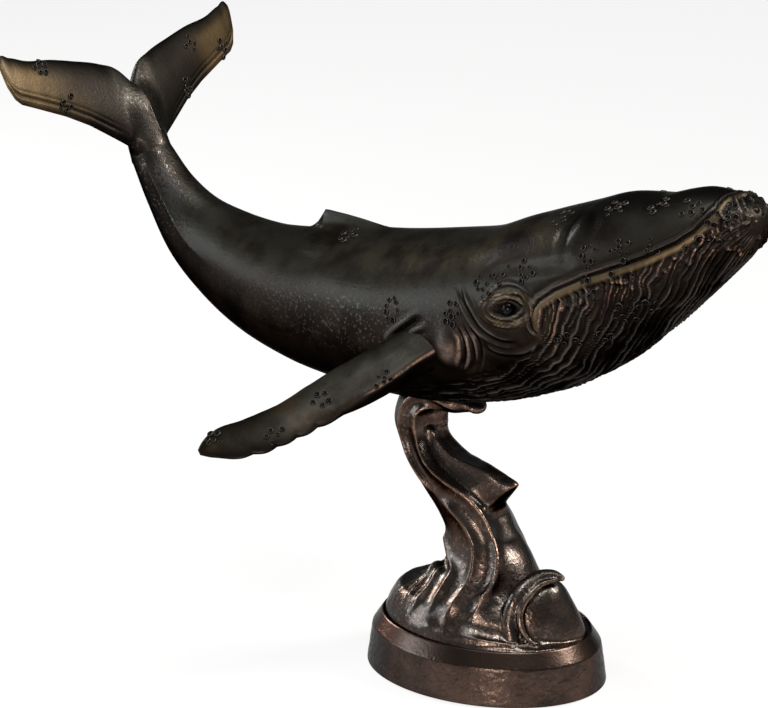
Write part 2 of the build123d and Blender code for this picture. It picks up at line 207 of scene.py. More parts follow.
def with_poles(grid):
    """A grid's numbers in the order of a closed shell's vertices: its own points, then its two poles."""
    return np.concatenate([grid.ravel(), [grid[0].mean(), grid[-1].mean()]])


def paint_grid(piece, name, grid):
    """Stores a grid of numbers on a piece that is one closed shell."""
    paint(piece, name, with_poles(grid))


def paint_relief(piece, rounds, kept=None, painted_light=None):
    """Height of each vertex above its surroundings in millimetres, which finds ridges and hollows: the
    mesh is evened out round by round and the step left behind is measured along the normal. A grid of
    shares can damp it where two castings join, and a grid of millimetres of painted light can be added:
    below zero it paints shade like a hollow, above zero a highlight like a ridge."""
    mesh = piece.data
    count = len(mesh.vertices)
    places = np.empty(count * 3)
    mesh.vertices.foreach_get("co", places)
    places = places.reshape(-1, 3)
    normals = np.empty(count * 3, np.float32)
    mesh.vertex_normals.foreach_get("vector", normals)
    edges = np.empty(len(mesh.edges) * 2, int)
    mesh.edges.foreach_get("vertices", edges)
    ends, others = np.concatenate([edges.reshape(-1, 2), edges.reshape(-1, 2)[:, ::-1]]).T
    near = np.bincount(ends, minlength=count)
    even = places
    for _ in range(rounds):
        sums = [np.bincount(ends, weights=even[others, axis], minlength=count) for axis in range(3)]
        even = 0.5 * even + 0.5 * np.stack(sums, 1) / near[:, None]
    relief = ((places - even) * normals.reshape(-1, 3)).sum(1) / mm
    if kept is not None:
        relief = relief * with_poles(kept)
    # Painted shade below zero and painted highlights above zero are added to the relief
    if painted_light is not None:
        relief = relief + with_poles(painted_light)
    paint(piece, "relief", relief)


def cast_bronze(name, colours, blotch_mm, grain_mm, grain_depth_mm, roughness, wax_weight):
    """Cast bronze under a dark chemical patina, waxed. Cloudy brown over near black, with painted light: a
    cool grey painted sheen in patches on faces that look up, as if lit from above, and painted shade, near
    black, on faces that look down; an olive gilt wash and bare copper ridges where the piece is painted with
    them, rubbed grey on other ridges and black in the hollows, where the relief also carries painted shade
    and painted highlights; and the fine hammered grain of the casting as bump with polished specks, which
    are painted pale as glints. A thin coat of wax gives the white highlights; none lies below."""
    material, shader, place = start_material(name)
    looks = add_node(material, "SeparateXYZ", {0: add_node(material, "NewGeometry", {}).outputs["Normal"]})
    relief, gild, rub, hammer_and_glints = (add_node(material, "Attribute", {}, attribute_name=painted).outputs["Fac"]
                                 for painted in ("relief", "gild", "rub", "hammer_and_glints"))
    cloud = add_node(material, "TexNoise", {"Vector": place, "Scale": 1 / (blotch_mm * mm), "Detail": 5.0,
                                            "Roughness": 0.6}).outputs[0]
    grain = add_node(material, "TexNoise", {"Vector": place, "Scale": 1 / (grain_mm * mm), "Detail": 3.0,
                                            "Roughness": 0.6}).outputs[0]

    def share(value, low, high, most):
        """A share from 0 where the value is low to most where it is high."""
        limits = {"Value": value, "From Min": low, "From Max": high, "To Max": most}
        return add_node(material, "MapRange", limits, interpolation_type="SMOOTHSTEP").outputs[0]

    def times(first, second):
        """Two shares multiplied."""
        return add_node(material, "Math", {0: first, 1: second}, operation="MULTIPLY").outputs[0]

    ridge = share(relief, 0.06, 0.45, 1.0)
    layers = [
        ("brown", share(cloud, 0.35, 0.68, 1.0)),
        # Painted sheen: faces that look up turn cool grey in patches, as if lit from above
        ("painted_top_sheen", times(share(looks.outputs["Z"], 0.0, 0.9, 1.0), share(cloud, 0.72, 0.40, 0.75))),
        # Painted shade: faces that look down turn near black
        ("black", share(looks.outputs["Z"], 0.05, -0.75, 0.6)),
        ("gilt", times(gild, share(cloud, 0.25, 0.6, 1.0))),
        ("wear_and_glints", times(ridge, share(cloud, 0.20, 0.55, 0.75))),
        # Painted glints: pale specks where the piece is painted hammered
        ("wear_and_glints", times(hammer_and_glints, share(grain, 0.55, 0.68, 0.7))),
        ("copper", times(times(ridge, rub), share(grain, 0.30, 0.62, 0.9))),
        # Black in the hollows, which also shows the painted shade added to the relief
        ("black", share(relief, -0.05, -0.40, 0.85)),
    ]
    colour = linear(colours["dark"])
    for layer, amount in layers:
        mix = add_node(material, "Mix", {0: amount, 6: colour, 7: linear(colours[layer])}, data_type="RGBA")
        colour = mix.outputs[2]
    polish = times(hammer_and_glints, share(grain, 0.48, 0.66, 0.22))
    rough = add_node(material, "Math", {0: roughness + 0.05, 1: polish}, operation="SUBTRACT")
    bump = add_node(material, "Bump", {"Height": grain, "Distance": grain_depth_mm * mm,
                                       "Strength": add_node(material, "MapRange", {
                                           "Value": hammer_and_glints, "To Min": 0.35, "To Max": 1.0}).outputs[0]})
    wax = share(looks.outputs["Z"], -0.25, 0.25, wax_weight)
    set_inputs(shader, {"Base Color": colour, "Roughness": rough.outputs[0], "Normal": bump.outputs[0],
                        "Metallic": 1.0, "Specular Tint": linear("#5a524c"), "Coat Weight": wax,
                        "Coat Roughness": 0.24, "Coat Normal": bump.outputs[0]})
    return material


def rounded_profile(corners, softness, count):
    """A line through corners, walked in even steps and averaged over a length of softness, so that each
    corner turns round; the two ends stay where they are."""
    corners = np.asarray(corners, float)
    walked = np.concatenate([[0], np.cumsum(np.linalg.norm(np.diff(corners, axis=0), axis=1))])
    steps = np.linspace(0, walked[-1], 40 * count)
    reach = np.linspace(-softness / 2, softness / 2, 41)
    spread = np.clip(steps[:, None] + reach, 0, walked[-1])
    line = np.stack([np.interp(spread, walked, corners[:, k]).mean(1) for k in (0, 1)], 1)
    line[0], line[-1] = corners[0], corners[-1]
    return line[np.linspace(0, len(line) - 1, count).astype(int)]


plinth_low, plinth_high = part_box("plinth")
plinth_half = (plinth_high.x, plinth_high.y)
plinth_base, plinth_top = plinth_low.z, plinth_high.z
shoulder_height, shoulder_inset = 14.2 * mm, 2.0 * mm
top_inset, top_rim, foot_recess = 5.8 * mm, 0.6 * mm, 1.0 * mm
felt_margin, felt_sink, plinth_wall, pocket_roof = 3.5 * mm, 1.5 * mm, 7.0 * mm, 12.0 * mm
foot_base = plinth_top - foot_recess
plinth_corners = [
    (plinth_half[1], foot_base),
    (top_inset + top_rim, foot_base),
    (top_inset + top_rim, plinth_top),
    (top_inset, plinth_top),
    (shoulder_inset, plinth_base + shoulder_height),
    (0, plinth_base),
    (felt_margin, plinth_base),
    (felt_margin, plinth_base + felt_sink),
    (plinth_wall, plinth_base + felt_sink),
    (plinth_wall, pocket_roof),
    (plinth_half[1], pocket_roof),
]
inset, height = rounded_profile(plinth_corners, 0.9 * mm, 300).T
turn = np.linspace(0, 2 * np.pi, 320, endpoint=False)
towards_middle = np.clip(inset / plinth_half[1], 0, 0.999)[:, None]
plinth_points = np.stack([
    (plinth_half[0] - np.minimum(inset[:, None], plinth_half[0] * towards_middle)) * np.cos(turn),
    (plinth_half[1] - inset[:, None]) * np.sin(turn),
    np.repeat(height[:, None], len(turn), axis=1),
], -1)
outer_side = ramp(inset, 3.2 * mm, 1.6 * mm) * ramp(height, plinth_base, plinth_base + 1.5 * mm)
hammered = grain_field(plinth_points, 1.7 * mm, 5) + 0.5 * grain_field(plinth_points, 0.9 * mm, 6)
plinth_points += (outward(plinth_points) * (hammered * outer_side[:, None])[..., None]) * 0.09 * mm
plinth = make_piece("hammered_plinth", [closed_shell(plinth_points)], ["plinth"])
paint_relief(plinth, 6)
# Brown bronze with a leathery hammered side painted with pale specks as glints, a painted sheen on faces that look up,
# and rubbed to copper along the shoulder's edge
paint_grid(plinth, "hammer_and_glints", np.repeat(0.45 * outer_side[:, None], len(turn), axis=1))
paint(plinth, "rub", np.ones(len(plinth.data.vertices)))
plinth_colours = {"dark": "#2c211b", "brown": "#4c3a31", "painted_top_sheen": "#4f4139", "gilt": "#6e5c44", "wear_and_glints": "#5d4c42",
                  "copper": "#a8775d", "black": "#0b0806"}
plinth.data.materials.append(cast_bronze("hammered_brown_bronze", plinth_colours, 14, 1.3, 0.22, 0.26, 0.34))


# Ballast, washers and screws
# A grey iron slab fills the plinth's pocket. Two zinc-plated steel screws with washers pass through it
# and the plinth, up into the wave's foot, and the felt covers their heads.
iron, iron_shader, iron_place = start_material("sand_cast_iron")
sand = add_node(iron, "TexNoise", {"Vector": iron_place, "Scale": 1 / (0.9 * mm), "Detail": 5.0})
sand_colour = add_node(iron, "Mix", {0: sand.outputs[0], 6: linear("#2a2a2b"), 7: linear("#5b5a58")},
                       data_type="RGBA")
sand_bump = add_node(iron, "Bump", {"Height": sand.outputs[0], "Distance": 0.12 * mm, "Strength": 0.7})
set_inputs(iron_shader, {"Base Color": sand_colour.outputs[2], "Normal": sand_bump.outputs[0],
                         "Roughness": 0.62, "Metallic": 0.9})
finish_node("ballast", iron)

steel, steel_shader, steel_place = start_material("turned_zinc_plated_steel")
lathe = add_node(steel, "TexWave", {"Vector": steel_place, "Scale": 1 / (0.35 * mm), "Distortion": 0.6},
                 bands_direction="Z")
lathe_rough = add_node(steel, "MapRange", {"Value": lathe.outputs[1], "To Min": 0.24, "To Max": 0.36})
lathe_colour = add_node(steel, "Mix", {0: lathe.outputs[1], 6: linear("#a9adb0"), 7: linear("#c9ccce")},
                        data_type="RGBA")
set_inputs(steel_shader, {"Base Color": lathe_colour.outputs[2], "Roughness": lathe_rough.outputs[0],
                          "Metallic": 1.0})
for node in ("foot_washers", "foot_screws"):
    finish_node(node, steel)


# Wave stand
# One bronze casting: a fluted column of water that leans back and rises to a crest under the belly, a
# second crest at its side, a small curling wave on the foot, and an oval foot let into the plinth's rim.
def swept(path, sizes, rows, columns, edge=1.0):
    """Closed tube along a path: at each row an oval across the path, its two half sizes lying towards
    the front and the left; an edge over 1 draws its four ends out to corners. Path and sizes are smooth
    curves through the rows of a short table."""
    knots = np.concatenate([[0], np.cumsum(np.linalg.norm(np.diff(path, axis=0), axis=1))])
    at = np.linspace(0, knots[-1], rows)
    centre = smooth_through(knots, path, at)
    size = np.maximum(smooth_through(knots, sizes, at), 0.2 * mm)
    ahead = np.gradient(centre, axis=0)
    ahead /= np.linalg.norm(ahead, axis=1, keepdims=True)
    left = np.array([0.0, 1.0, 0.0]) - ahead * ahead[:, 1:2]
    left /= np.linalg.norm(left, axis=1, keepdims=True)
    front = np.cross(left, ahead)
    turn = np.linspace(-np.pi, np.pi, columns, endpoint=False)
    out, over = np.sign(np.cos(turn)) * np.abs(np.cos(turn)) ** edge, np.sign(np.sin(turn)) * np.abs(np.sin(turn)) ** edge
    return (centre[:, None] + front[:, None] * (size[:, :1] * out)[..., None]
            + left[:, None] * (size[:, 1:] * over)[..., None])


def ridge_height(share, turn, radius, line, tall, wide):
    """Ridge of water along a line of (share of the height, turn in degrees): hollow flanks that halve in
    each width away from the line; it sinks into the column at the line's two ends."""
    at, bearing = np.array(sorted(line)).T
    apart = (turn - np.radians(smooth_through(at, bearing, share)) + np.pi) % (2 * np.pi) - np.pi
    ends = ramp(share, at[0] - 0.02, at[0] + 0.08) * ramp(share, at[-1] + 0.02, at[-1] - 0.08)
    away = np.hypot(apart * radius, 0.5 * mm) - 0.5 * mm
    return tall * ends * 0.5 ** (away / wide)


seat_height, neck_lean = 102.0 * mm, 31.0 * mm
stand_height = seat_height - foot_base
foot_half = np.array(plinth_half) - top_inset - top_rim - 0.4 * mm
column_half = np.array([14.5, 14.0]) * mm
# The column stands on the foot, bends back to the neck and then forward, to end as the crest under the
# belly: way along it, height, lean, flare from column to foot, thickness and width
column_shares = np.array([
    (0.00, 0.00, 0.00, 1.00, 1.00, 1.00),
    (0.07, 0.07, 0.00, 0.94, 1.00, 1.00),
    (0.14, 0.14, 0.02, 0.72, 1.00, 1.00),
    (0.21, 0.21, 0.03, 0.43, 1.00, 1.00),
    (0.285, 0.285, 0.03, 0.18, 1.00, 1.00),
    (0.37, 0.37, -0.05, 0.04, 1.00, 1.00),
    (0.47, 0.47, -0.15, 0.00, 0.98, 0.97),
    (0.565, 0.565, -0.35, 0.00, 0.90, 0.93),
    (0.66, 0.66, -0.65, 0.00, 0.80, 0.88),
    (0.76, 0.76, -0.92, 0.00, 0.72, 0.82),
    (0.855, 0.855, -1.02, 0.00, 0.65, 0.76),
    (0.94, 0.920, -1.00, 0.00, 0.59, 0.71),
    (1.00, 0.972, -0.96, 0.00, 0.56, 0.67),
    (1.05, 1.012, -0.87, 0.00, 0.50, 0.62),
    (1.10, 1.034, -0.76, 0.00, 0.43, 0.57),
    (1.16, 1.036, -0.60, 0.00, 0.32, 0.50),
    (1.22, 1.024, -0.39, 0.00, 0.25, 0.43),
    (1.28, 1.008, -0.20, 0.00, 0.17, 0.34),
    (1.31, 1.000, -0.10, 0.00, 0.12, 0.22),
    (1.32, 1.002, -0.065, 0.00, 0.03, 0.04),
])
# Ridges of the water: way along the column and turn from the front, with the whale's right below zero;
# then height and width in mm, and whether the far side has the same ridge
column_ridges = [
    ([(1.28, -45), (1.20, -75), (1.12, -92), (1.05, -99), (0.98, -99), (0.90, -96), (0.82, -95), (0.746, -96),
      (0.673, -97), (0.6, -96)], 2.8, 0.9, True),
    ([(1.28, -10), (1.20, -36), (1.12, -55), (1.05, -64), (0.98, -66), (0.90, -63), (0.82, -61), (0.75, -63), (0.686, -67),
      (0.6, -60), (0.541, -49), (0.473, -40), (0.392, -35), (0.314, -39), (0.238, -55), (0.149, -69)],
     4.0, 1.4, False),
    ([(0.88, -30), (0.84, -29), (0.80, -28), (0.74, -28), (0.686, -29), (0.625, -25), (0.57, -17), (0.50, -8)],
     3.4, 1.0, False),
    ([(0.6, -96), (0.557, -86), (0.473, -73), (0.377, -65), (0.281, -75), (0.167, -84), (0.1, -87)], 2.4, 2.0, True),
    ([(0.5, -142), (0.46, -137), (0.369, -119), (0.326, -108), (0.2, -101), (0.1, -99)], 2.2, 1.8, True),
    ([(0.4, -178), (0.33, -160), (0.22, -136), (0.126, -122), (0.06, -118)], 1.9, 1.5, True),
    ([(0.36, -146), (0.288, -130), (0.197, -117), (0.111, -111), (0.05, -110)], 1.9, 1.4, True),
    ([(0.42, -188), (0.36, -172), (0.25, -150), (0.15, -137), (0.07, -132)], 1.7, 1.5, True),
]
column_way, column_height, column_lean, column_flare = column_shares[:, :4].T
column_path = np.stack([column_lean * neck_lean, 0 * column_lean, foot_base + column_height * stand_height], 1)
column_size = column_shares[:, 4:] * column_half
column_size = column_size + column_flare[:, None] * (foot_half - column_size)
rows, columns = 400, 360
share = np.linspace(0, column_way[-1], rows)
centre = smooth_through(column_way, column_path, share)
size = smooth_through(column_way, column_size, share)
ahead = np.gradient(centre, axis=0)
ahead /= np.linalg.norm(ahead, axis=1, keepdims=True)
standing = ramp(share, 0, 0.14)[:, None]
ahead = ahead * standing + np.array([0.0, 0.0, 1.0]) * (1 - standing)
ahead /= np.linalg.norm(ahead, axis=1, keepdims=True)
front = np.stack([ahead[:, 2], 0 * share, -ahead[:, 0]], 1)
turn = np.linspace(-np.pi, np.pi, columns, endpoint=False)
column_points = (centre[:, None] + front[:, None] * (size[:, :1] * np.cos(turn))[..., None]
                 + np.array([0.0, 1.0, 0.0]) * (size[:, 1:] * np.sin(turn))[..., None])
radius = np.sqrt(size[:, :1] * size[:, 1:])
sunk = ramp(share, 0.90, 0.78)[:, None] + 0 * turn
flutes = -1.6 * mm * sunk
for line, tall, wide, both in column_ridges:
    for side in (1, -1) if both else (1,):
        flutes += ridge_height(share[:, None], side * turn, radius, line, tall * mm, wide * mm)
flutes *= ramp(share, 0.03, 0.14)[:, None] * np.minimum(radius / (9 * mm), 1)
# The neck's back is swollen, and the foot lies flat in front, where the fan runs out over it
flutes += 2.0 * mm * bell(np.abs(turn), math.radians(160), math.radians(50)) * bell(share, 0.95, 0.10)[:, None]
flat_front = ramp(share, 0.0, 0.03)[:, None] * ramp(share, 0.17, 0.06)[:, None]
flutes -= 5.5 * mm * bell(turn, math.radians(8), math.radians(58)) * flat_front
flutes -= 2.0 * mm * bell(np.abs(turn), math.radians(165), math.radians(40)) * bell(share, 0.19, 0.06)[:, None]
# Side crest: the column's front drawn out to a beak with a hollow underside, sharpest at its tip
beak_line = np.array([
    (0.28, 0), (0.36, -1.0), (0.42, -2.2), (0.455, -2.6), (0.472, -1.2), (0.483, 2.5), (0.490, 8.5), (0.496, 13.6),
    (0.504, 13.2), (0.525, 10.8), (0.55, 8.6), (0.60, 4.6), (0.645, 2.2), (0.69, 0.8), (0.74, 0),
])
beak_wide = np.radians(np.interp(share, [0.47, 0.496, 0.55, 0.64], [30, 17, 30, 44]))[:, None]
flutes += np.interp(share, *beak_line.T)[:, None] * mm * bell(turn, 0, beak_wide)
ripple = grain_field(column_points * np.array([1, 1, 0.6]), 4 * mm, 11)
foot_ripple = ramp(share, 0.20, 0.10)[:, None] * ramp(share, 0.01, 0.06)[:, None]
column_points += outward(column_points) * (flutes + 0.45 * mm * ripple * foot_ripple)[..., None]

# Small curling wave: a swelling shell, the thick rolled lip along its right edge, and the lip's thin rim
shell_middle = np.array([21.2, -1.6, 19.3]) * mm
shell_half = np.array([14.8, 15.2, 22.5]) * mm
shell_tip_lean = np.array([5.0, 3.4, 0.0]) * mm
polar = np.linspace(0.02, np.pi - 0.02, 80)[:, None]
bearing = np.linspace(0, 2 * np.pi, 100, endpoint=False)
shell_points = np.stack([np.sin(polar) * np.cos(bearing), np.sin(polar) * np.sin(bearing),
                         np.cos(polar) + 0 * bearing], -1)
shell_side = np.array([0.755, 0.656, 0.0])
shell_spread = np.clip(shell_points @ shell_side, 0, 1) * (1 - np.clip(shell_points[..., 2], 0, 1))
shell_points = (shell_middle + shell_points * shell_half + shell_spread[..., None] * shell_side * 7.5 * mm
                + np.maximum(shell_points[..., 2:], 0) ** 2 * shell_tip_lean)
shell_points += outward(shell_points) * (0.7 * mm * grain_field(shell_points, 8 * mm, 13))[..., None]
lip_path = np.array([
    (26.4, -16.7, 18.4), (25.7, -16.2, 22.3), (24.3, -15.7, 25.9), (23.6, -14.4, 31.6), (24.4, -11.9, 37.1),
    (25.5, -6.2, 41.4), (27.6, -1.1, 43.3), (31.2, 1.4, 43.8), (35.4, 2.4, 43.2),
]) * mm
lip_sizes = np.array([3.4, 3.4, 3.4, 3.3, 3.2, 3.0, 2.7, 2.2, 0.9])[:, None] * np.ones(2) * mm
rim_path = np.array([
    (34.5, -13.0, 21.2), (31.5, -14.9, 24.3), (29.1, -15.4, 28.9), (28.1, -14.0, 33.8), (28.6, -10.0, 38.2),
    (29.8, -4.9, 41.5), (33.6, 0.4, 43.2),
]) * mm
rim_sizes = np.array([0.5, 1.0, 1.3, 1.3, 1.3, 1.2, 0.7])[:, None] * np.ones(2) * mm
lip_points = swept(lip_path, lip_sizes, 100, 48)
rim_points = swept(rim_path, rim_sizes, 100, 24)
for points in (shell_points, lip_points, rim_points):
    points[..., 2] = np.maximum(points[..., 2], foot_base)

wave_voxel = 0.52 * mm
wave_shells = [closed_shell(points) for points in (column_points, shell_points, lip_points, rim_points)]
wave = make_piece("breaking_wave", wave_shells, ["wave_stand"])
remesh = wave.modifiers.new("one_skin", "REMESH")
remesh.mode, remesh.voxel_size, remesh.use_smooth_shade = "VOXEL", wave_voxel, True
smooth = wave.modifiers.new("soften", "SMOOTH")
smooth.factor, smooth.iterations = 0.5, 2
shaped = bpy.data.meshes.new_from_object(wave.evaluated_get(bpy.context.evaluated_depsgraph_get()))
wave.modifiers.clear()
wave.data = shaped
paint_relief(wave, 10)
wave_vertices = np.empty(len(shaped.vertices) * 3)
shaped.vertices.foreach_get("co", wave_vertices)
wave_vertices = wave_vertices.reshape(-1, 3)
above_foot = ramp(wave_vertices[:, 2], foot_base + 2 * mm, foot_base + 9 * mm)
towards_back = ramp(wave_vertices[:, 0], -8 * mm, -20 * mm) * ramp(wave_vertices[:, 2], 52 * mm, 40 * mm)
paint(wave, "rub", (0.25 + 0.75 * above_foot) * (1 - 0.8 * towards_back))
# The fan and the back of the foot are painted hammered; their pale specks are a painted highlight and glints
from_fan = np.linalg.norm(wave_vertices - np.array([20, -15, 38]) * mm, axis=1)
paint(wave, "hammer_and_glints", np.clip(0.3 + bell(from_fan, 0, 16 * mm) + towards_back, 0, 1))
# Brown bronze, hammered by hand on the fan, where pale specks are painted as its highlight and glints, with a painted
# sheen on faces that look up, and rubbed to bright copper along every ridge
wave_colours = {"dark": "#31251f", "brown": "#4e3d34", "painted_top_sheen": "#66625d", "gilt": "#6e5c44", "wear_and_glints": "#8d847b",
                "copper": "#b98468", "black": "#140e0b"}
wave.data.materials.append(cast_bronze("rubbed_brown_bronze", wave_colours, 9, 1.5, 0.26, 0.27, 0.36))


# Stud, pin and threaded bush
# A steel stud stands in the wave's neck and screws into a brass bush set in the whale's belly. A steel
# pin beside it stops the whale from turning.
brass, brass_shader, brass_place = start_material("turned_brass")
turning = add_node(brass, "TexWave", {"Vector": brass_place, "Scale": 1 / (0.4 * mm), "Distortion": 0.8},
                   bands_direction="Z")
turning_colour = add_node(brass, "Mix", {0: turning.outputs[1], 6: linear("#a8863f"), 7: linear("#cdb063")},
                          data_type="RGBA")
set_inputs(brass_shader, {"Base Color": turning_colour.outputs[2], "Roughness": 0.3, "Metallic": 1.0})
finish_node("belly_insert", brass)
for node in ("belly_stud", "locating_pin"):
    finish_node(node, steel)


# Whale body
# A hollow bronze casting from the tail joint to the snout, with the dorsal fin cast on. The sculptor cut
# the mouth, the throat pleats and the folds round eye and fin; the patina is rubbed back over them.
body_length, body_depth, body_width = 296.0 * mm, 66.0 * mm, 66.0 * mm
tail_rise, head_rise = 41.4 * mm, 69.9 * mm
seat_place = np.array([-26.97, 102.0]) * mm
lowest_station, seat_station, eye_station, nose_station, snout_station = 5, 7, 10, 15, 16
# Place along the length, rise of the spine, size above the spine, below it, and half width
body_shares = np.array([
    (-0.0035, 1.00, 0.26, 0.26, 0.24),
    (0.034, 0.65, 0.35, 0.34, 0.29),
    (0.079, 0.36, 0.48, 0.46, 0.38),
    (0.139, 0.155, 0.605, 0.58, 0.49),
    (0.209, 0.03, 0.70, 0.70, 0.62),
    (0.287, 0.00, 0.79, 0.81, 0.76),
    (0.372, 0.01, 0.90, 0.90, 0.87),
    (0.470, 0.05, 0.96, 0.96, 0.95),
    (0.561, 0.122, 0.98, 0.98, 0.99),
    (0.632, 0.212, 0.96, 0.965, 1.00),
    (0.699, 0.332, 0.95, 0.945, 0.99),
    (0.757, 0.457, 0.905, 0.875, 0.95),
    (0.811, 0.584, 0.82, 0.76, 0.87),
    (0.875, 0.737, 0.65, 0.60, 0.74),
    (0.932, 0.879, 0.46, 0.44, 0.54),
    (0.970, 0.957, 0.285, 0.31, 0.35),
    (0.990, 0.985, 0.125, 0.135, 0.155),
    (0.993, 0.989, 0.00, 0.00, 0.00),
])
body_along, body_rise, body_up, body_down, body_side = body_shares.T
end_rise = np.where(np.arange(len(body_shares)) < lowest_station, tail_rise, head_rise)
spine = np.stack([body_along * body_length, end_rise * body_rise], 1)
seat_slope = spine[seat_station + 1] - spine[seat_station - 1]
seat_slope /= np.linalg.norm(seat_slope)
belly = spine[seat_station] + body_down[seat_station] * body_depth / 2 * np.array([seat_slope[1], -seat_slope[0]])
spine += seat_place - belly
walked = np.concatenate([[0], np.cumsum(np.linalg.norm(np.diff(spine, axis=0), axis=1))])
body_path = 324.15 * mm
body_knots = walked / body_path
nose_t, tip_t = body_knots[nose_station], body_knots[-1]
body_sizes = np.stack([body_up * body_depth, body_down * body_depth, body_side * body_width], 1) / 2


def body_skin(t, turn):
    """Plain skin: ovals across the spine. t runs from tail to snout, turn from the back round by the
    whale's right side; each oval has its own size above, below and to the sides. Past the nose station
    the ovals shrink with the root of the length that is left, which rounds the snout."""
    step = 1e-4
    centre = smooth_through(body_knots, spine, t)
    ahead = (smooth_through(body_knots, spine, np.clip(t + step, 0, tip_t))
             - smooth_through(body_knots, spine, np.clip(t - step, 0, tip_t)))
    ahead /= np.linalg.norm(ahead, axis=-1, keepdims=True)
    sizes = smooth_through(body_knots[:snout_station], body_sizes[:snout_station], np.minimum(t, nose_t))
    left_over = np.sqrt(np.clip(1 - np.clip((t - nose_t) / (tip_t - nose_t), 0, 1) ** 1.5, 0, 1))
    up, down, side = np.moveaxis(sizes * left_over[..., None], -1, 0)
    height = np.where(np.cos(turn) > 0, up, down) * np.cos(turn)
    return np.stack([centre[..., 0] - ahead[..., 1] * height, -side * np.sin(turn),
                     centre[..., 1] + ahead[..., 0] * height], -1)


def spread(count, thinly, thickly):
    """Steps from 0 to 1, drawn together where the weight is high: weights at knots, summed up."""
    at = np.linspace(0, 1, 4000)
    weight = np.cumsum(np.interp(at, thinly, thickly))
    return np.interp(np.linspace(weight[0], weight[-1], count), weight, at)


body_columns, nose_rows = 252, 28
main_rows = spread(344, [0, 0.27, 0.29, 0.33, 0.35, 0.45, 0.60, 0.64, 1], [0.6, 0.6, 1.3, 1.3, 0.7, 0.7, 0.9, 1.6, 1.6])
nose_ease = np.linspace(0, 1, nose_rows + 2)[1:-1]
along = np.concatenate([[0, 0.0003], main_rows[1:] * nose_t, nose_t + (tip_t - nose_t) * (1 - (1 - nose_ease) ** 2)])
half_turn = spread(body_columns // 2 + 1, [0, 0.04, 0.08, 0.30, 0.38, 1], [1.7, 1.7, 0.8, 0.8, 1.5, 1.7]) * np.pi
turn = np.concatenate([half_turn, 2 * np.pi - half_turn[-2:0:-1]])
t, turn = np.meshgrid(along, turn, indexing="ij")
fold = np.minimum(turn, 2 * np.pi - turn)
fold_degrees = np.degrees(fold)
body_points = body_skin(t, turn)
body_normal = outward(body_points)
girth = np.linalg.norm(body_points - body_points.mean(axis=1, keepdims=True), axis=-1)


def steepness(field):
    """How fast a field changes over the skin, per metre, along and round the body together."""
    along_step = np.linalg.norm(np.gradient(body_points, axis=0), axis=-1)
    around_step = np.linalg.norm(np.roll(body_points, -1, 1) - np.roll(body_points, 1, 1), axis=-1)
    steep_along = np.gradient(field, axis=0) / np.maximum(along_step, 1e-6)
    steep_around = (np.roll(field, -1, 1) - np.roll(field, 1, 1)) / np.maximum(around_step, 1e-6)
    return np.hypot(steep_along, steep_around)


def stroke(course, wide, tall):
    """A raised line on the skin, or a cut one where tall is below zero, through places (t, turn in
    degrees), with a shallow hollow along both flanks; it thins out at both ends. Lengths in mm."""
    course = np.array(course, float)
    steps = smooth_through(np.linspace(0, 1, len(course)), course, np.linspace(0, 1, 25))
    line = body_skin(steps[:, 0], np.radians(steps[:, 1]))
    right_side = body_points.copy()
    right_side[..., 1] = -np.abs(right_side[..., 1])
    nearest = np.full(t.shape, 1.0)
    share = np.zeros(t.shape)
    for k in range(len(line) - 1):
        leg = line[k + 1] - line[k]
        part = np.clip(((right_side - line[k]) @ leg) / (leg @ leg), 0, 1)
        away = np.linalg.norm(right_side - line[k] - part[..., None] * leg, axis=-1)
        share = np.where(away < nearest, (k + part) / (len(line) - 1), share)
        nearest = np.minimum(nearest, away)
    thin = ramp(share, 0, 0.2) * ramp(share, 1, 0.8)
    return tall * mm * thin * (bell(nearest, 0, wide * mm) - 0.4 * bell(nearest, 1.9 * wide * mm, 0.8 * wide * mm))


# Mouth line, from the pleats' upper edge behind the eye to the snout: place and turn in degrees
mouth_line = np.array([
    (0.00, 165), (0.30, 158), (0.42, 142), (0.50, 130), (0.58, 121), (0.64, 117), (0.69, 114), (0.715, 108),
    (0.725, 97), (0.732, 91), (0.742, 87.5), (0.767, 84.5), (0.807, 84), (0.849, 86), (0.887, 88), (0.925, 88),
    (0.945, 82), (0.957, 71), (0.966, 56), (0.973, 16), (0.985, -30), (1.01, -80),
])
mouth_turn = np.radians(np.interp(t, *mouth_line.T))
mouth = (fold - mouth_turn) / np.maximum(steepness(fold - mouth_turn), 1e-3)
jaw = ramp(t, 0.718, 0.734)
crease = -0.8 * mm * bell(mouth, 0, 0.40 * mm) * jaw
upper_lip = (0.45 * bell(mouth, -1.2 * mm, 0.6 * mm) - 0.25 * bell(mouth, -2.9 * mm, 0.8 * mm)) * mm * jaw
lower_lip = 0.5 * mm * ramp(mouth, 0.3 * mm, 1.0 * mm) * ramp(mouth, 4.2 * mm, 2.4 * mm) * jaw

# Throat pleats: they drop from the lip, sweep backwards and run along the belly, waver, fade and start anew.
# Every pleat is a whole number of a count that rises along the lip and down the throat
lip_course = np.maximum(0.2 + 0.57 * (t - 0.724) / 0.276, 0)
fall = np.clip((fold_degrees - 92) / 88, 0, 1)
pleat_count = ((30 * lip_course) ** 1.5 + (18 * fall) ** 1.5) ** (1 / 1.5)
pleat_steep = np.maximum(steepness(pleat_count), 60)
pleat_count += (0.75 * grain_field(body_points, 14 * mm, 21) + 0.40 * grain_field(body_points, 6 * mm, 22)
                + 0.15 * grain_field(body_points, 2.5 * mm, 29))


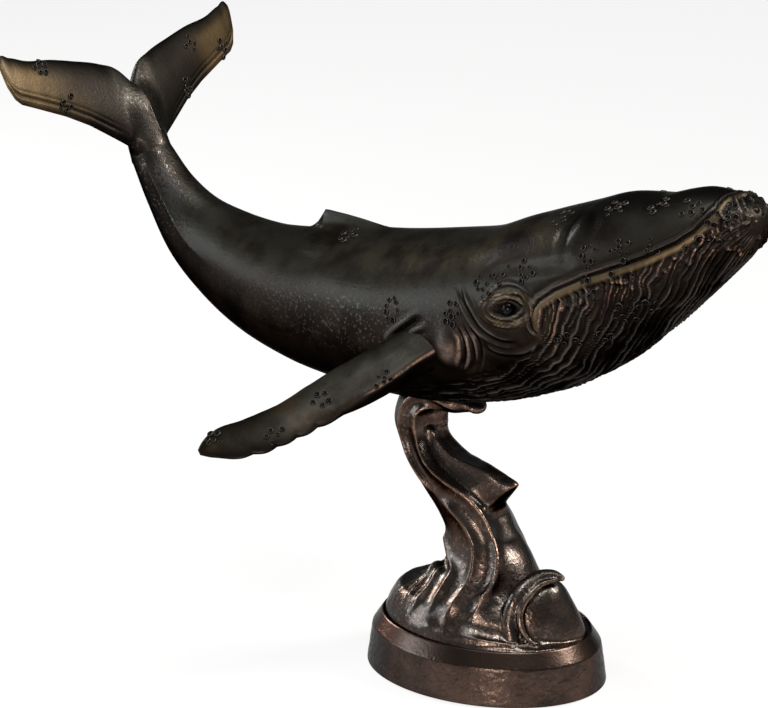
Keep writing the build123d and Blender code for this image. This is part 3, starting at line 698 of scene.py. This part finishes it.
def pleat_ridges(per_count, wide, length, seed):
    """Ridges at whole numbers of the count, so many for each; their width and the length over which each
    one swells and fades are in mm, and neighbours swell at random."""
    count = per_count * pleat_count
    number = np.round(count)
    swell = grain_field(np.stack([number * 7.3, body_points[..., 0] / (length * mm),
                                  body_points[..., 2] / (length * mm)], -1), 1.0, seed)
    return bell((count - number) / (per_count * pleat_steep), 0, wide * mm) * np.clip(0.8 + 0.7 * swell, 0.1, 1.3)


pleat_area = ramp(mouth, 2.0 * mm, 4.0 * mm) * ramp(t, 0.44, 0.58)
coarse = pleat_ridges(1, 0.60, 14, 25)
fine = pleat_ridges(2.37, 0.38, 7, 26) * ramp(fall, 0.9, 0.3)
pleats = (np.maximum(1.1 * coarse, 0.75 * fine) - 0.6) * mm * pleat_area * ramp(tip_t - t, 0.0, 0.012)

# Warts under the lip, and the blistered chin
chin = ramp(t, 0.95, 0.98)
warts = np.maximum(grain_field(body_points, 1.9 * mm, 31) - 0.1, 0)
wart_area = ramp(mouth, 2.8 * mm, 5 * mm) * ramp(mouth, 13 * mm, 7 * mm) * ramp(t, 0.735, 0.78)
warts = 1.1 * mm * warts * np.maximum(wart_area, 1.3 * chin * ramp(mouth, 2 * mm, 4 * mm))


def about(place_t, place_turn):
    """Distances along and round the skin from one place on the right side and its mirror place."""
    here = np.argmin(np.abs(along - place_t))
    reach = girth[here].mean()
    return (t - place_t) * body_path, (fold - math.radians(place_turn)) * reach


# Eye: an almond hollow for the bead, two lids, and thin wrinkles that ring it unevenly
ahead_of_eye, below_eye = about(body_knots[eye_station], 85.0)
below_eye = below_eye - 0.16 * ahead_of_eye
almond = np.hypot(ahead_of_eye / (4.6 * mm), below_eye / (2.4 * mm))
socket = -1.5 * mm * bell(almond, 0, 0.95) + 0.25 * mm * bell(almond, 2.0, 1.0)
ring_count = 1.7 * almond + 0.7 * grain_field(body_points, 4.5 * mm, 27)
ring_away = (ring_count - np.round(ring_count)) / np.maximum(steepness(ring_count), 60)
ring_vigour = np.clip(0.7 + 0.8 * grain_field(body_points, 4.0 * mm, 28), 0, 1)
ring_vigour *= 0.25 + 0.75 * ramp(np.abs(below_eye) / np.maximum(almond, 0.3), 0.3 * mm, 1.3 * mm)
ring_area = ramp(almond, 1.0, 1.4) * ramp(almond, 3.5, 2.4)
wrinkles = (1.0 * bell(ring_away, 0, 0.34 * mm) - 0.3) * mm * ring_vigour * ring_area
lid_lines = [
    ([(0.664, 79), (0.676, 71.5), (0.697, 68.5), (0.714, 71), (0.726, 76), (0.738, 84)], 0.7, 0.55),
    ([(0.670, 82), (0.684, 78.0), (0.700, 77.0), (0.713, 81), (0.724, 88)], 0.6, 0.8),
    ([(0.670, 83.5), (0.682, 88), (0.695, 91), (0.711, 90.5), (0.724, 88)], 0.6, 0.7),
    ([(0.663, 85), (0.678, 93), (0.695, 96.5), (0.715, 95), (0.728, 92)], 0.7, 0.4),
]

# Folds: a long furrow from the flank to below the eye, gathers in front of the fin, and the brow's edge
fold_lines = [
    ([(0.622, 60), (0.637, 78), (0.648, 91), (0.668, 104), (0.695, 110)], 0.9, -0.8),
    ([(0.633, 66), (0.647, 80), (0.656, 92), (0.672, 101)], 0.9, 0.45),
    ([(0.616, 86), (0.622, 96), (0.616, 107), (0.600, 117)], 0.9, -0.9),
    ([(0.623, 85), (0.631, 98), (0.624, 111), (0.603, 122)], 0.9, -0.8),
    ([(0.633, 88), (0.641, 99), (0.634, 110), (0.610, 124)], 0.9, -0.6),
    ([(0.648, 100), (0.660, 110), (0.690, 116), (0.720, 114)], 1.0, 0.5),
    ([(0.660, 62), (0.700, 59), (0.740, 63), (0.773, 68), (0.806, 73)], 2.4, -0.4),
    ([(0.728, 90), (0.722, 96), (0.718, 103), (0.722, 109)], 0.6, -0.8),
    ([(0.500, 100), (0.514, 93), (0.530, 88), (0.548, 83), (0.566, 80)], 1.3, -0.9),
    ([(0.498, 94), (0.514, 88), (0.532, 83), (0.552, 79)], 1.2, 0.35),
    ([(0.520, 98), (0.538, 92), (0.558, 87), (0.574, 85)], 1.1, 0.4),
]
lines = sum(stroke(*line) for line in lid_lines + fold_lines)

# The shoulder over the fin's root, the keels of the tail, soft dents of the skull and slack muscle
ahead_of_fin, below_fin = about(0.572, 100)
knuckle = bell(np.hypot(ahead_of_fin - 8 * mm, below_fin - 1 * mm), 0, 6.5 * mm)
shoulder = 1.0 * mm * bell(np.hypot(ahead_of_fin, below_fin), 0, 15 * mm) + 2.8 * mm * knuckle
keel = 0.9 * mm * 0.5 ** (np.abs(fold_degrees - np.interp(t, [0, 0.07, 0.14], [72, 74, 82])) / 7)
keel *= ramp(t, 0.2, 0.10) * ramp(t, 0.002, 0.04)
dent_count = (t - 0.777) / 0.030 + 0.5 * grain_field(body_points, 12 * mm, 43)
dents = 0.35 * mm * np.cos(2 * np.pi * dent_count) * bell(t, 0.805, 0.035) * bell(fold_degrees, 42, 17)
skull_line = 0.7 * bell(t, 0.835, 0.025) - 1.0 * bell(t, 0.892, 0.025) + 0.5 * bell(t, 0.945, 0.015)
skull = skull_line * mm * bell(fold_degrees, 0, 40)
muscle = 0.45 * mm * grain_field(body_points, 22 * mm, 41) * ramp(t, 0.1, 0.3) * ramp(t, 0.97, 0.9)

# Dorsal fin: a low blade on the back, its height by place; it runs out into the back at both sides
dorsal_line = np.array([
    (0.290, 0), (0.304, 1.0), (0.317, 3.4), (0.331, 7.7), (0.338, 7.6), (0.366, 5.9), (0.397, 3.6), (0.425, 1.3),
    (0.448, 0),
])
dorsal_tall = np.interp(t, *dorsal_line.T) * mm
off_ridge = np.where(fold < np.pi / 2, np.abs(body_points[..., 1]), 1)
dorsal = dorsal_tall * (0.62 * bell(off_ridge, 0, 1.5 * mm) + 0.38 * bell(off_ridge, 0, 4.6 * mm))

lift = (crease + upper_lip + lower_lip + pleats + warts + socket + wrinkles + lines + shoulder + keel + dents + skull
        + muscle + dorsal)
lift *= ramp(t, tip_t, tip_t - 0.006) * 0.7 + 0.3
body_points = body_points + body_normal * lift[..., None]
body_normal = outward(body_points)

whale = make_piece("whale_casting", [closed_shell(body_points)], ["whale_body"])
# Painted light on the skin, added to the relief: shade painted in the eye's almond round the bead, over the top of the
# head and across the skull's dents; highlights painted on the knuckle over the fin and round the tail's end by the
# joint
painted_shade_and_highlights = -0.7 * bell(almond, 0, 0.95) - 0.40 * ramp(t, 0.70, 0.86) * bell(fold_degrees, 0, 65)
painted_shade_and_highlights += 0.2 * knuckle + 0.40 * ramp(t, 0.13, 0.05) * ramp(t, 0.0, 0.035) * bell(fold_degrees, 50, 20)
painted_shade_and_highlights -= 0.14 * bell(t, 0.805, 0.035) * bell(fold_degrees, 42, 17)
paint_relief(whale, 8, ramp(t, 0.004, 0.02) * ramp(t, tip_t, tip_t - 0.002), painted_shade_and_highlights)
gilt_lip = 0.8 * ramp(mouth, 0.1 * mm, 0.7 * mm) * ramp(mouth, 3.6 * mm, 2.0 * mm) * ramp(t, 0.715, 0.735)
gilt_lids = ring_area * (0.1 + 0.9 * bell(ring_away, 0, 0.45 * mm)) * ring_vigour
paint_grid(whale, "gild", np.clip(gilt_lip * ramp(t, 1.0, 0.97) + gilt_lids, 0, 1))
rubbed_patch = ramp(grain_field(body_points, 7 * mm, 44), -0.35, 0.25)
rubbed_jaw = ramp(mouth, 0.5 * mm, 3 * mm) * ramp(mouth, 17 * mm, 7 * mm) * jaw * rubbed_patch
rubbed_lip = 0.35 * bell(mouth, -1.2 * mm, 1.0 * mm) * jaw
rubbed_folds = 0.5 * bell(np.hypot(ahead_of_fin - 14 * mm, below_fin), 0, 9 * mm)
paint_grid(whale, "rub", np.clip(rubbed_jaw + rubbed_lip + rubbed_folds + 0.3 * gilt_lids, 0, 1))
# Painted hammered on the lower flank, the tail's end and the brow, where pale specks paint the glints
flank = bell(t, 0.42, 0.16) * bell(fold_degrees, 86, 16)
brow = 0.7 * bell(t, 0.8, 0.05) * bell(fold_degrees, 40, 20)
paint_grid(whale, "hammer_and_glints", np.clip(flank + ramp(t, 0.16, 0.05) + brow, 0, 1))
# Almost black bronze with a cool grey painted sheen on the back, pale specks painted as glints on the flank, tail and
# brow, and rubbed copper on the folds of the jaw
whale_colours = {"dark": "#1b1613", "brown": "#2d2621", "painted_top_sheen": "#504f48", "gilt": "#67573e", "wear_and_glints": "#5a5856",
                 "copper": "#a87c62", "black": "#070504"}
whale_bronze = cast_bronze("patinated_black_bronze", whale_colours, 18, 1.3, 0.20, 0.42, 0.10)
whale.data.materials.append(whale_bronze)


# Eyes
# Two dark glass beads, glued into round sockets between the lids.
glass, glass_shader, glass_place = start_material("polished_black_glass")
iris = add_node(glass, "TexNoise", {"Vector": glass_place, "Scale": 1 / (1.2 * mm), "Detail": 3.0})
iris_colour = add_node(glass, "Mix", {0: iris.outputs[0], 6: linear("#030202"), 7: linear("#0f0a07")},
                       data_type="RGBA")
set_inputs(glass_shader, {"Base Color": iris_colour.outputs[2], "Roughness": 0.1, "IOR": 1.52, "Specular IOR Level": 0.1})
for node in ("right_eye", "left_eye"):
    finish_node(node, glass)


# Pectoral fins
# Long bronze paddles, cast on their own and dowelled and glued to the flanks. The leading edge is a flat
# facet at the shoulder and knobbly further out, and the outer half is washed with olive gilt.
fin_length, fin_embed, fin_chord, fin_thickness = 90.5 * mm, 16.0 * mm, 20.0 * mm, 9.0 * mm
fin_sweep, fin_droop, fin_twist = math.radians(36.9), math.radians(21.5), math.radians(19.0)
fin_station, fin_root_turn = 8, math.radians(14.0)
# Place along the length, leading edge, trailing edge and half thickness
fin_shares = np.array([
    (0.00, 0.24, -0.74, 0.90),
    (0.14, 0.24, -0.72, 0.74),
    (0.22, 0.27, -0.66, 0.60),
    (0.30, 0.34, -0.61, 0.49),
    (0.41, 0.42, -0.575, 0.42),
    (0.555, 0.455, -0.46, 0.35),
    (0.685, 0.51, -0.345, 0.30),
    (0.81, 0.485, -0.34, 0.24),
    (0.92, 0.295, -0.38, 0.17),
    (0.975, 0.11, -0.26, 0.12),
    (1.00, -0.02, -0.14, 0.06),
])
ahead = spine[fin_station + 1] - spine[fin_station - 1]
ahead /= np.linalg.norm(ahead)
fin_drop = -body_sizes[fin_station, 1] * math.sin(fin_root_turn)
fin_root = np.array([spine[fin_station, 0] - ahead[1] * fin_drop,
                     -body_sizes[fin_station, 2] * math.cos(fin_root_turn),
                     spine[fin_station, 1] + ahead[0] * fin_drop])
fin_axis = np.array([-math.sin(fin_sweep) * math.cos(fin_droop), -math.cos(fin_sweep) * math.cos(fin_droop),
                     -math.sin(fin_droop)])
level_chord = np.array([1.0, 0, 0]) - fin_axis * fin_axis[0]
level_chord /= np.linalg.norm(level_chord)
fin_front = level_chord * math.cos(fin_twist) - np.cross(fin_axis, level_chord) * math.sin(fin_twist)
fin_up = np.cross(fin_axis, fin_front)

fin_along = np.linspace(0, 1, 240)
lead, trail, thick = smooth_through(fin_shares[:, 0], fin_shares[:, 1:], fin_along).T
bearing = np.linspace(0, 2 * np.pi, 160, endpoint=False)
fin_degrees = np.degrees(bearing)
towards_lead = (1 + np.cos(bearing)) / 2
facet = ramp(fin_along, 0.70, 0.34)[:, None]
knob_wave = np.abs(np.sin(np.pi * (9 * fin_along + 0.5 * np.sin(9 * fin_along))))
knobs = 0.05 * knob_wave * ramp(fin_along, 0.42, 0.55) * ramp(fin_along, 0.98, 0.88)
half_chord = ((lead - trail) / 2)[:, None]
squareness = np.where(np.cos(bearing) > 0, 1 - 0.72 * facet, 1)
out_chord = np.sign(np.cos(bearing)) * np.abs(np.cos(bearing)) ** squareness
chord_place = ((lead + trail) / 2)[:, None] + half_chord * out_chord
chord_place = chord_place + knobs[:, None] * np.clip(np.cos(bearing), 0, 1) ** 6
fullness = np.abs(np.sin(bearing)) ** np.where(np.cos(bearing) > 0, 0.95 - 0.45 * facet, 1.1)
thick_place = np.maximum(thick, 0.02)[:, None] * np.sign(np.sin(bearing)) * fullness
thick_place = thick_place * (0.8 + 0.3 * towards_lead)
fin_out = (fin_along * (fin_length + fin_embed) - fin_embed)[:, None, None]
right_fin_points = (fin_root + fin_axis * fin_out + fin_front * chord_place[..., None] * fin_chord
                    + fin_up * thick_place[..., None] * fin_thickness)
swelling = grain_field(right_fin_points, 9 * mm, 51) + 0.4 * grain_field(right_fin_points, 4 * mm, 52)
right_fin_points += outward(right_fin_points) * (0.25 * mm * swelling)[..., None]
fin_tint = 0.5 * ramp(fin_along, 0.56, 0.74)[:, None] * ramp(towards_lead, 1.0, 0.75)
# Painted highlight: a bright line along the facet's upper edge, given copper and added to the relief as a ridge
upper_edge = bell(bearing, math.radians(40), math.radians(9)) * ramp(fin_along, 0.44, 0.34)[:, None]
# The outer leading edge is rubbed to copper, and the painted highlight line joins it
fin_wear_and_highlight = np.clip(ramp(towards_lead, 0.8, 0.95) * ramp(fin_along, 0.35, 0.5)[:, None] + upper_edge, 0, 1)
front_face = ramp(bearing, math.radians(30), math.radians(18)) + ramp(bearing, math.radians(318), math.radians(330))
# Painted shade on the facet at the root, which faces down and forward, and over the fin from halfway out to the tip
fin_shade_and_highlight = 0.8 * upper_edge - 0.24 * front_face * facet - 0.34 * ramp(fin_along, 0.55, 0.8)[:, None]
fin_join = np.repeat(ramp(fin_along, 0.02, 0.08) * ramp(fin_along, 1.0, 0.985), len(bearing)).reshape(fin_wear_and_highlight.shape)
for side, mirror in (("right", 1), ("left", -1)):
    fin = make_piece(side + "_paddle_fin", [closed_shell(right_fin_points * np.array([1, mirror, 1]))],
                     [side + "_pectoral_fin"])
    paint_relief(fin, 8, fin_join, fin_shade_and_highlight)
    paint_grid(fin, "gild", fin_tint)
    paint_grid(fin, "rub", fin_wear_and_highlight)
    fin.data.materials.append(whale_bronze)
    finish_node(side + "_fin_dowel", steel)


# Tail flukes
# One bronze casting, stock and both blades, dowelled and glued to the tail. A raised rim follows the
# leading edge, a keel runs down the stock to the notch, and the outer halves are washed with olive gilt.
fluke_span, fluke_chord, fluke_thickness = 128.0 * mm, 32.0 * mm, 8.4 * mm
stock_length, fluke_tilt = 28.8 * mm, math.radians(68.0)
joint_half = body_sizes[0, 2]
joint_depth = body_sizes[0, 0]
# Place across in shares of the half span, trailing edge and half thickness; then the leading edge
blade_shares = np.array([
    (0.00, -0.03, 0.50),
    (0.09, 0.18, 0.47),
    (0.22, 0.30, 0.40),
    (0.42, 0.41, 0.31),
    (0.59, 0.49, 0.25),
    (0.79, 0.55, 0.19),
    (0.91, 0.63, 0.14),
    (0.985, 0.65, 0.07),
    (1.00, 0.60, 0.03),
])
lead_shares = np.array([
    (0.00, -0.925), (0.100, -0.925), (0.122, -0.86), (0.15, -0.765), (0.22, -0.67), (0.42, -0.40), (0.59, -0.22),
    (0.79, -0.05), (0.91, 0.05), (0.95, 0.13), (0.985, 0.30), (1.00, 0.50),
])
# Place along the stock, half width and half depth in shares of the joint's oval
stock_shares = np.array([
    (0.0, 1.0, 1.0), (0.08, 1.02, 0.94), (0.15, 1.05, 0.89), (0.3, 1.15, 0.80), (0.55, 1.35, 0.58), (0.78, 1.3, 0.34),
    (1.0, 1.0, 0.06),
])
across = np.linspace(-1, 1, 301)
across = np.sign(across) * np.abs(across) ** 1.25 * 0.999
trail, thick = smooth_through(blade_shares[:, 0], blade_shares[:, 1:], np.abs(across)).T
lead = np.interp(np.abs(across), *lead_shares.T)
bearing = np.linspace(0, 2 * np.pi, 150, endpoint=False)
fluke_degrees = np.degrees(bearing)
chord_share = (1 - np.cos(bearing)) / 2
down_chord = (lead[:, None] + (trail - lead)[:, None] * chord_share) * fluke_chord
sideways = np.repeat(across[:, None], len(bearing), axis=1) * fluke_span / 2
blade_half = thick[:, None] * fluke_thickness * np.abs(np.sin(bearing)) ** 0.85
stock_share = np.clip(1 + down_chord / stock_length, 0, 1)
stock_wide, stock_deep = np.moveaxis(smooth_through(stock_shares[:, 0], stock_shares[:, 1:], stock_share), -1, 0)
stock_slope = np.interp(stock_share, [0, 0.15, 0.5], [0.5, 0.6, 1.4])
stock_round = np.maximum(1 - (sideways / (stock_wide * joint_half)) ** 2, 0) ** stock_slope
stock_half = stock_deep * joint_depth * stock_round
blend = 2.5 - 0.9 * ramp(stock_share, 0.3, 0.7)
fluke_half = (blade_half ** blend + stock_half ** blend) ** (1 / blend)
from_lead = down_chord - lead[:, None] * fluke_chord
rim = ramp(np.abs(across), 0.16, 0.3)[:, None] * ramp(np.abs(across), 1.0, 0.93)[:, None]
groove = (0.32 * bell(from_lead, 3.4 * mm, 0.8 * mm) + 0.1 * bell(from_lead, 5.6 * mm, 0.6 * mm)) * mm * rim
keel = 0.9 * mm * 0.5 ** (np.abs(sideways) / (1.3 * mm)) * ramp(down_chord, 0.5 * mm, -7 * mm)
keel = keel * ramp(down_chord, -28 * mm, -22 * mm)
fluke_rise = np.where(np.sin(bearing) > 0, 1, -1) * np.maximum(fluke_half - groove + keel, 0.15 * mm)
fluke_rise[:, 0] = 0
fluke_rise[:, len(bearing) // 2] = 0
joint_lean = 0.223 * ramp(down_chord, -16 * mm, -27 * mm)
fluke_down = np.array([-math.cos(fluke_tilt), 0, math.sin(fluke_tilt)])
fluke_face = np.array([math.sin(fluke_tilt), 0, math.cos(fluke_tilt)])
tail_joint = np.array([spine[0, 0], 0, spine[0, 1]])
notch = tail_joint + fluke_down * stock_length
fluke_points = (notch + fluke_down * (down_chord + joint_lean * fluke_rise)[..., None]
                + fluke_face * fluke_rise[..., None] + np.array([0.0, 1.0, 0.0]) * sideways[..., None])
flukes = make_piece("tail_fluke_casting", [closed_shell(fluke_points)], ["tail_flukes"])
# Painted shade over the blades away from the stock, deepest towards the trailing edge, and a painted highlight down the
# middle of the stock
fluke_shade_and_highlight = -(0.22 + 0.16 * ramp(chord_share, 0.6, 1.0)) * ramp(np.abs(sideways), 5 * mm, 14 * mm)
fluke_shade_and_highlight += 0.22 * bell(sideways, -1.5 * mm, 4.5 * mm) * ramp(down_chord, 2 * mm, -6 * mm)
paint_relief(flukes, 8, ramp(down_chord, -27 * mm, -23 * mm), fluke_shade_and_highlight)
fluke_cloud = 0.18 * grain_field(fluke_points, 12 * mm, 61)
paint_grid(flukes, "gild", 0.9 * ramp(np.abs(across)[:, None] + fluke_cloud, 0.40, 0.78)
           * ramp(chord_share, 1.0, 0.72))
paint_grid(flukes, "rub", 0.6 * ramp(from_lead, 9 * mm, 4 * mm) * ramp(np.abs(sideways), 7 * mm, 15 * mm)
           + 0.12 * bell(sideways, 0, 3 * mm))
# The stock's middle is painted hammered, with pale specks painted as glints
paint_grid(flukes, "hammer_and_glints", bell(sideways, 0, 9 * mm))
flukes.data.materials.append(whale_bronze)
finish_node("fluke_dowel", steel)


# Barnacles
# Small craters cast with the skin, in clusters over head, jaw, back, fins and flukes. Each has a low
# cone, a rubbed rim and a shallow middle painted black as the shade of its hole.
crater_rings = np.array([(1.0, -0.3), (0.92, 0.14), (0.80, 0.36), (0.68, 0.32), (0.58, 0.06)])
# Relief given to each ring: a rubbed light rim, and a middle below zero painted black as the shade of a hole
crater_wear_and_hole_shade = np.array([0.0, 0.08, 0.4, -0.3, -0.8])
crater_sides = 9
bearing = np.linspace(0, 2 * np.pi, crater_sides, endpoint=False)
crater_points = np.stack([crater_rings[:, :1] * np.cos(bearing), crater_rings[:, :1] * np.sin(bearing),
                          crater_rings[:, 1:] + 0 * bearing], -1)
crater_random = np.random.default_rng(71)


def crater_cluster(points, normals, middle, count, reach):
    """Craters set at random about the middle, on the grid points that lie within reach and look the same
    way: the template is turned to each point's normal and drawn to a size of its own."""
    row, column = middle
    apart = np.linalg.norm(points - points[row, column], axis=-1)
    near = np.argwhere((apart < reach) & ((normals @ normals[row, column]) > 0.6))
    shells, kept = [], []
    for place in crater_random.permutation(near):
        point, normal = points[tuple(place)], normals[tuple(place)]
        size = crater_random.uniform(0.85, 1.6) * mm
        if all(np.linalg.norm(point - other) > 0.85 * (size + other_size) for other, other_size in kept):
            kept.append((point, size))
            side = np.cross(normal, (0.3, 0.5, 0.81))
            side /= np.linalg.norm(side)
            axes = np.stack([side, np.cross(normal, side), normal])
            shells.append(closed_shell(point + size * crater_points @ axes))
        if len(kept) == count:
            break
    return shells


def grid_place(values_down, value_down, values_across, value_across):
    """Row and column of a grid that lie nearest to two values."""
    return np.argmin(np.abs(values_down - value_down)), np.argmin(np.abs(values_across - value_across))


# Clusters on the body's right side, as place and turn in degrees; the left side has the same
body_clusters = [(0.390, 15), (0.513, 74), (0.614, 79), (0.847, 30), (0.904, 32), (0.944, 46), (0.768, 26),
                 (0.732, 63), (0.696, 60), (0.668, 65), (0.817, 71), (0.862, 74), (0.896, 78), (0.980, 60),
                 (0.966, 89), (0.944, 97), (0.852, 96), (0.853, 134), (0.806, 93), (0.825, 127), (0.748, 124),
                 (0.782, 136)]
crater_shells = []
for place_t, place_turn in body_clusters:
    for side_turn in (place_turn, 360 - place_turn):
        middle = grid_place(along, place_t, np.degrees(turn[0]), side_turn)
        crater_shells += crater_cluster(body_points, body_normal, middle, crater_random.integers(5, 9), 4.6 * mm)
# Clusters on the right fin's upper face, as way along the fin and turn from its leading edge in degrees
fin_normal = outward(right_fin_points)
for place_along, place_turn in [(0.33, 62), (0.55, 88), (0.74, 50), (0.93, 115)]:
    middle = grid_place(fin_along, place_along, fin_degrees, place_turn)
    crater_shells += crater_cluster(right_fin_points, fin_normal, middle, crater_random.integers(5, 8), 3.6 * mm)
    crater_shells += crater_cluster(right_fin_points * np.array([1, -1, 1]), fin_normal * np.array([1, -1, 1]), middle,
                                    crater_random.integers(5, 8), 3.6 * mm)
# Clusters on the flukes' upper faces, as share of the half span and turn from the leading edge in degrees
fluke_normal = outward(fluke_points)
for place_across, place_turn in [(-0.70, 134), (-0.59, 59), (0.56, 113), (0.83, 52), (0.43, 47)]:
    middle = grid_place(across, place_across, fluke_degrees, place_turn)
    crater_shells += crater_cluster(fluke_points, fluke_normal, middle, crater_random.integers(5, 8), 3.6 * mm)
barnacles = make_piece("barnacle_clusters", crater_shells)
# Painted relief for each crater: a light rubbed rim, and a middle painted black as the shade of a hole
ring_wear_and_hole_shade = np.concatenate([np.repeat(crater_wear_and_hole_shade, crater_sides), [0, -0.8]])
paint(barnacles, "relief", np.tile(ring_wear_and_hole_shade, len(crater_shells)))
barnacles.data.materials.append(whale_bronze)


# Floor, light and camera
# A plain white table in a plain studio: a cool softbox at the left, a smaller one behind it, warm ones low
# in front, above the camera and high at the right, and a large one overhead.
floor_half = 4.0
floor_mesh = bpy.data.meshes.new("table")
floor_mesh.from_pydata([(-floor_half, -floor_half, 0), (floor_half, -floor_half, 0), (floor_half, floor_half, 0),
                        (-floor_half, floor_half, 0)], [], [(0, 1, 2, 3)])
floor = bpy.data.objects.new("table", floor_mesh)
bpy.context.scene.collection.objects.link(floor)
table, table_shader, table_place = start_material("matt_white_table")
set_inputs(table_shader, {"Base Color": linear("#f4f4f4"), "Roughness": 0.9})
white = add_node(table, "Emission", {"Color": (1, 1, 1, 1), "Strength": 1.0})
path = add_node(table, "LightPath", {})
seen = add_node(table, "Math", {0: path.outputs["Is Camera Ray"], 1: path.outputs["Is Glossy Ray"]},
                operation="MAXIMUM")
seen = add_node(table, "Math", {0: seen.outputs[0], 1: path.outputs["Is Transmission Ray"]}, operation="MAXIMUM")
most = add_node(table, "Math", {0: seen.outputs[0], 1: 0.85}, operation="MULTIPLY")
both = add_node(table, "MixShader", {0: most.outputs[0], 1: table_shader.outputs[0], 2: white.outputs[0]})
table.node_tree.links.new(both.outputs[0], table.node_tree.nodes["Material Output"].inputs["Surface"])
floor_mesh.materials.append(table)

world = bpy.data.worlds.new("studio")
world.use_nodes = True
world.node_tree.nodes["Background"].inputs["Color"].default_value = (0.92, 0.96, 1.0, 1)
world.node_tree.nodes["Background"].inputs["Strength"].default_value = 0.14
bpy.context.scene.world = world

view_turn, view_rise, view_distance = math.radians(41.0), math.radians(17.3), 1.7
view_target = Vector((-0.05136, 0.00034, 0.11328))


def studio_direction(right_of_view, rise):
    """Unit vector from the sculpture, at degrees to the right of the camera and above the table."""
    a, e = view_turn + math.radians(right_of_view), math.radians(rise)
    return Vector((math.sin(a) * math.cos(e), -math.cos(a) * math.cos(e), math.sin(e)))


# Name, degrees right of the camera, degrees above the table, distance, width, height, watts, colour
softboxes = [
    ("left_softbox", -92, 14, 0.9, 0.40, 0.30, 2.5, (0.84, 0.93, 1.0)),
    ("back_softbox", -135, 18, 0.9, 0.20, 0.30, 6.0, (1.0, 0.98, 0.95)),
    ("front_softbox", -18, 5, 1.0, 0.14, 0.24, 3.6, (1.0, 0.88, 0.79)),
    ("middle_softbox", 15, 66, 1.0, 0.20, 0.20, 3.8, (1.0, 0.96, 0.92)),
    ("right_softbox", 80, 38, 0.9, 0.20, 0.36, 8.0, (1.0, 0.93, 0.86)),
    ("top_softbox", -30, 78, 0.9, 0.60, 0.60, 2.4, (0.97, 0.98, 1.0)),
]
for name, bearing, rise, distance, width, height, watts, colour in softboxes:
    lamp = bpy.data.lights.new(name, "AREA")
    lamp.shape, lamp.size, lamp.size_y = "RECTANGLE", width, height
    lamp.energy, lamp.color = watts, colour
    holder = bpy.data.objects.new(name, lamp)
    bpy.context.scene.collection.objects.link(holder)
    direction = studio_direction(bearing, rise)
    holder.location = view_target + direction * distance
    holder.rotation_euler = direction.to_track_quat("Z", "Y").to_euler()

camera = bpy.data.objects.new("camera", bpy.data.cameras.new("camera"))
bpy.context.scene.collection.objects.link(camera)
pixels_per_metre, photo_width = 2650, 768
camera.data.lens = pixels_per_metre * view_distance / photo_width * camera.data.sensor_width
view_back = studio_direction(0, math.degrees(view_rise))
camera.location = view_target + view_back * view_distance
camera.rotation_euler = view_back.to_track_quat("Z", "Y").to_euler()
bpy.context.scene.camera = camera
bpy.context.scene.view_settings.view_transform = "Standard"
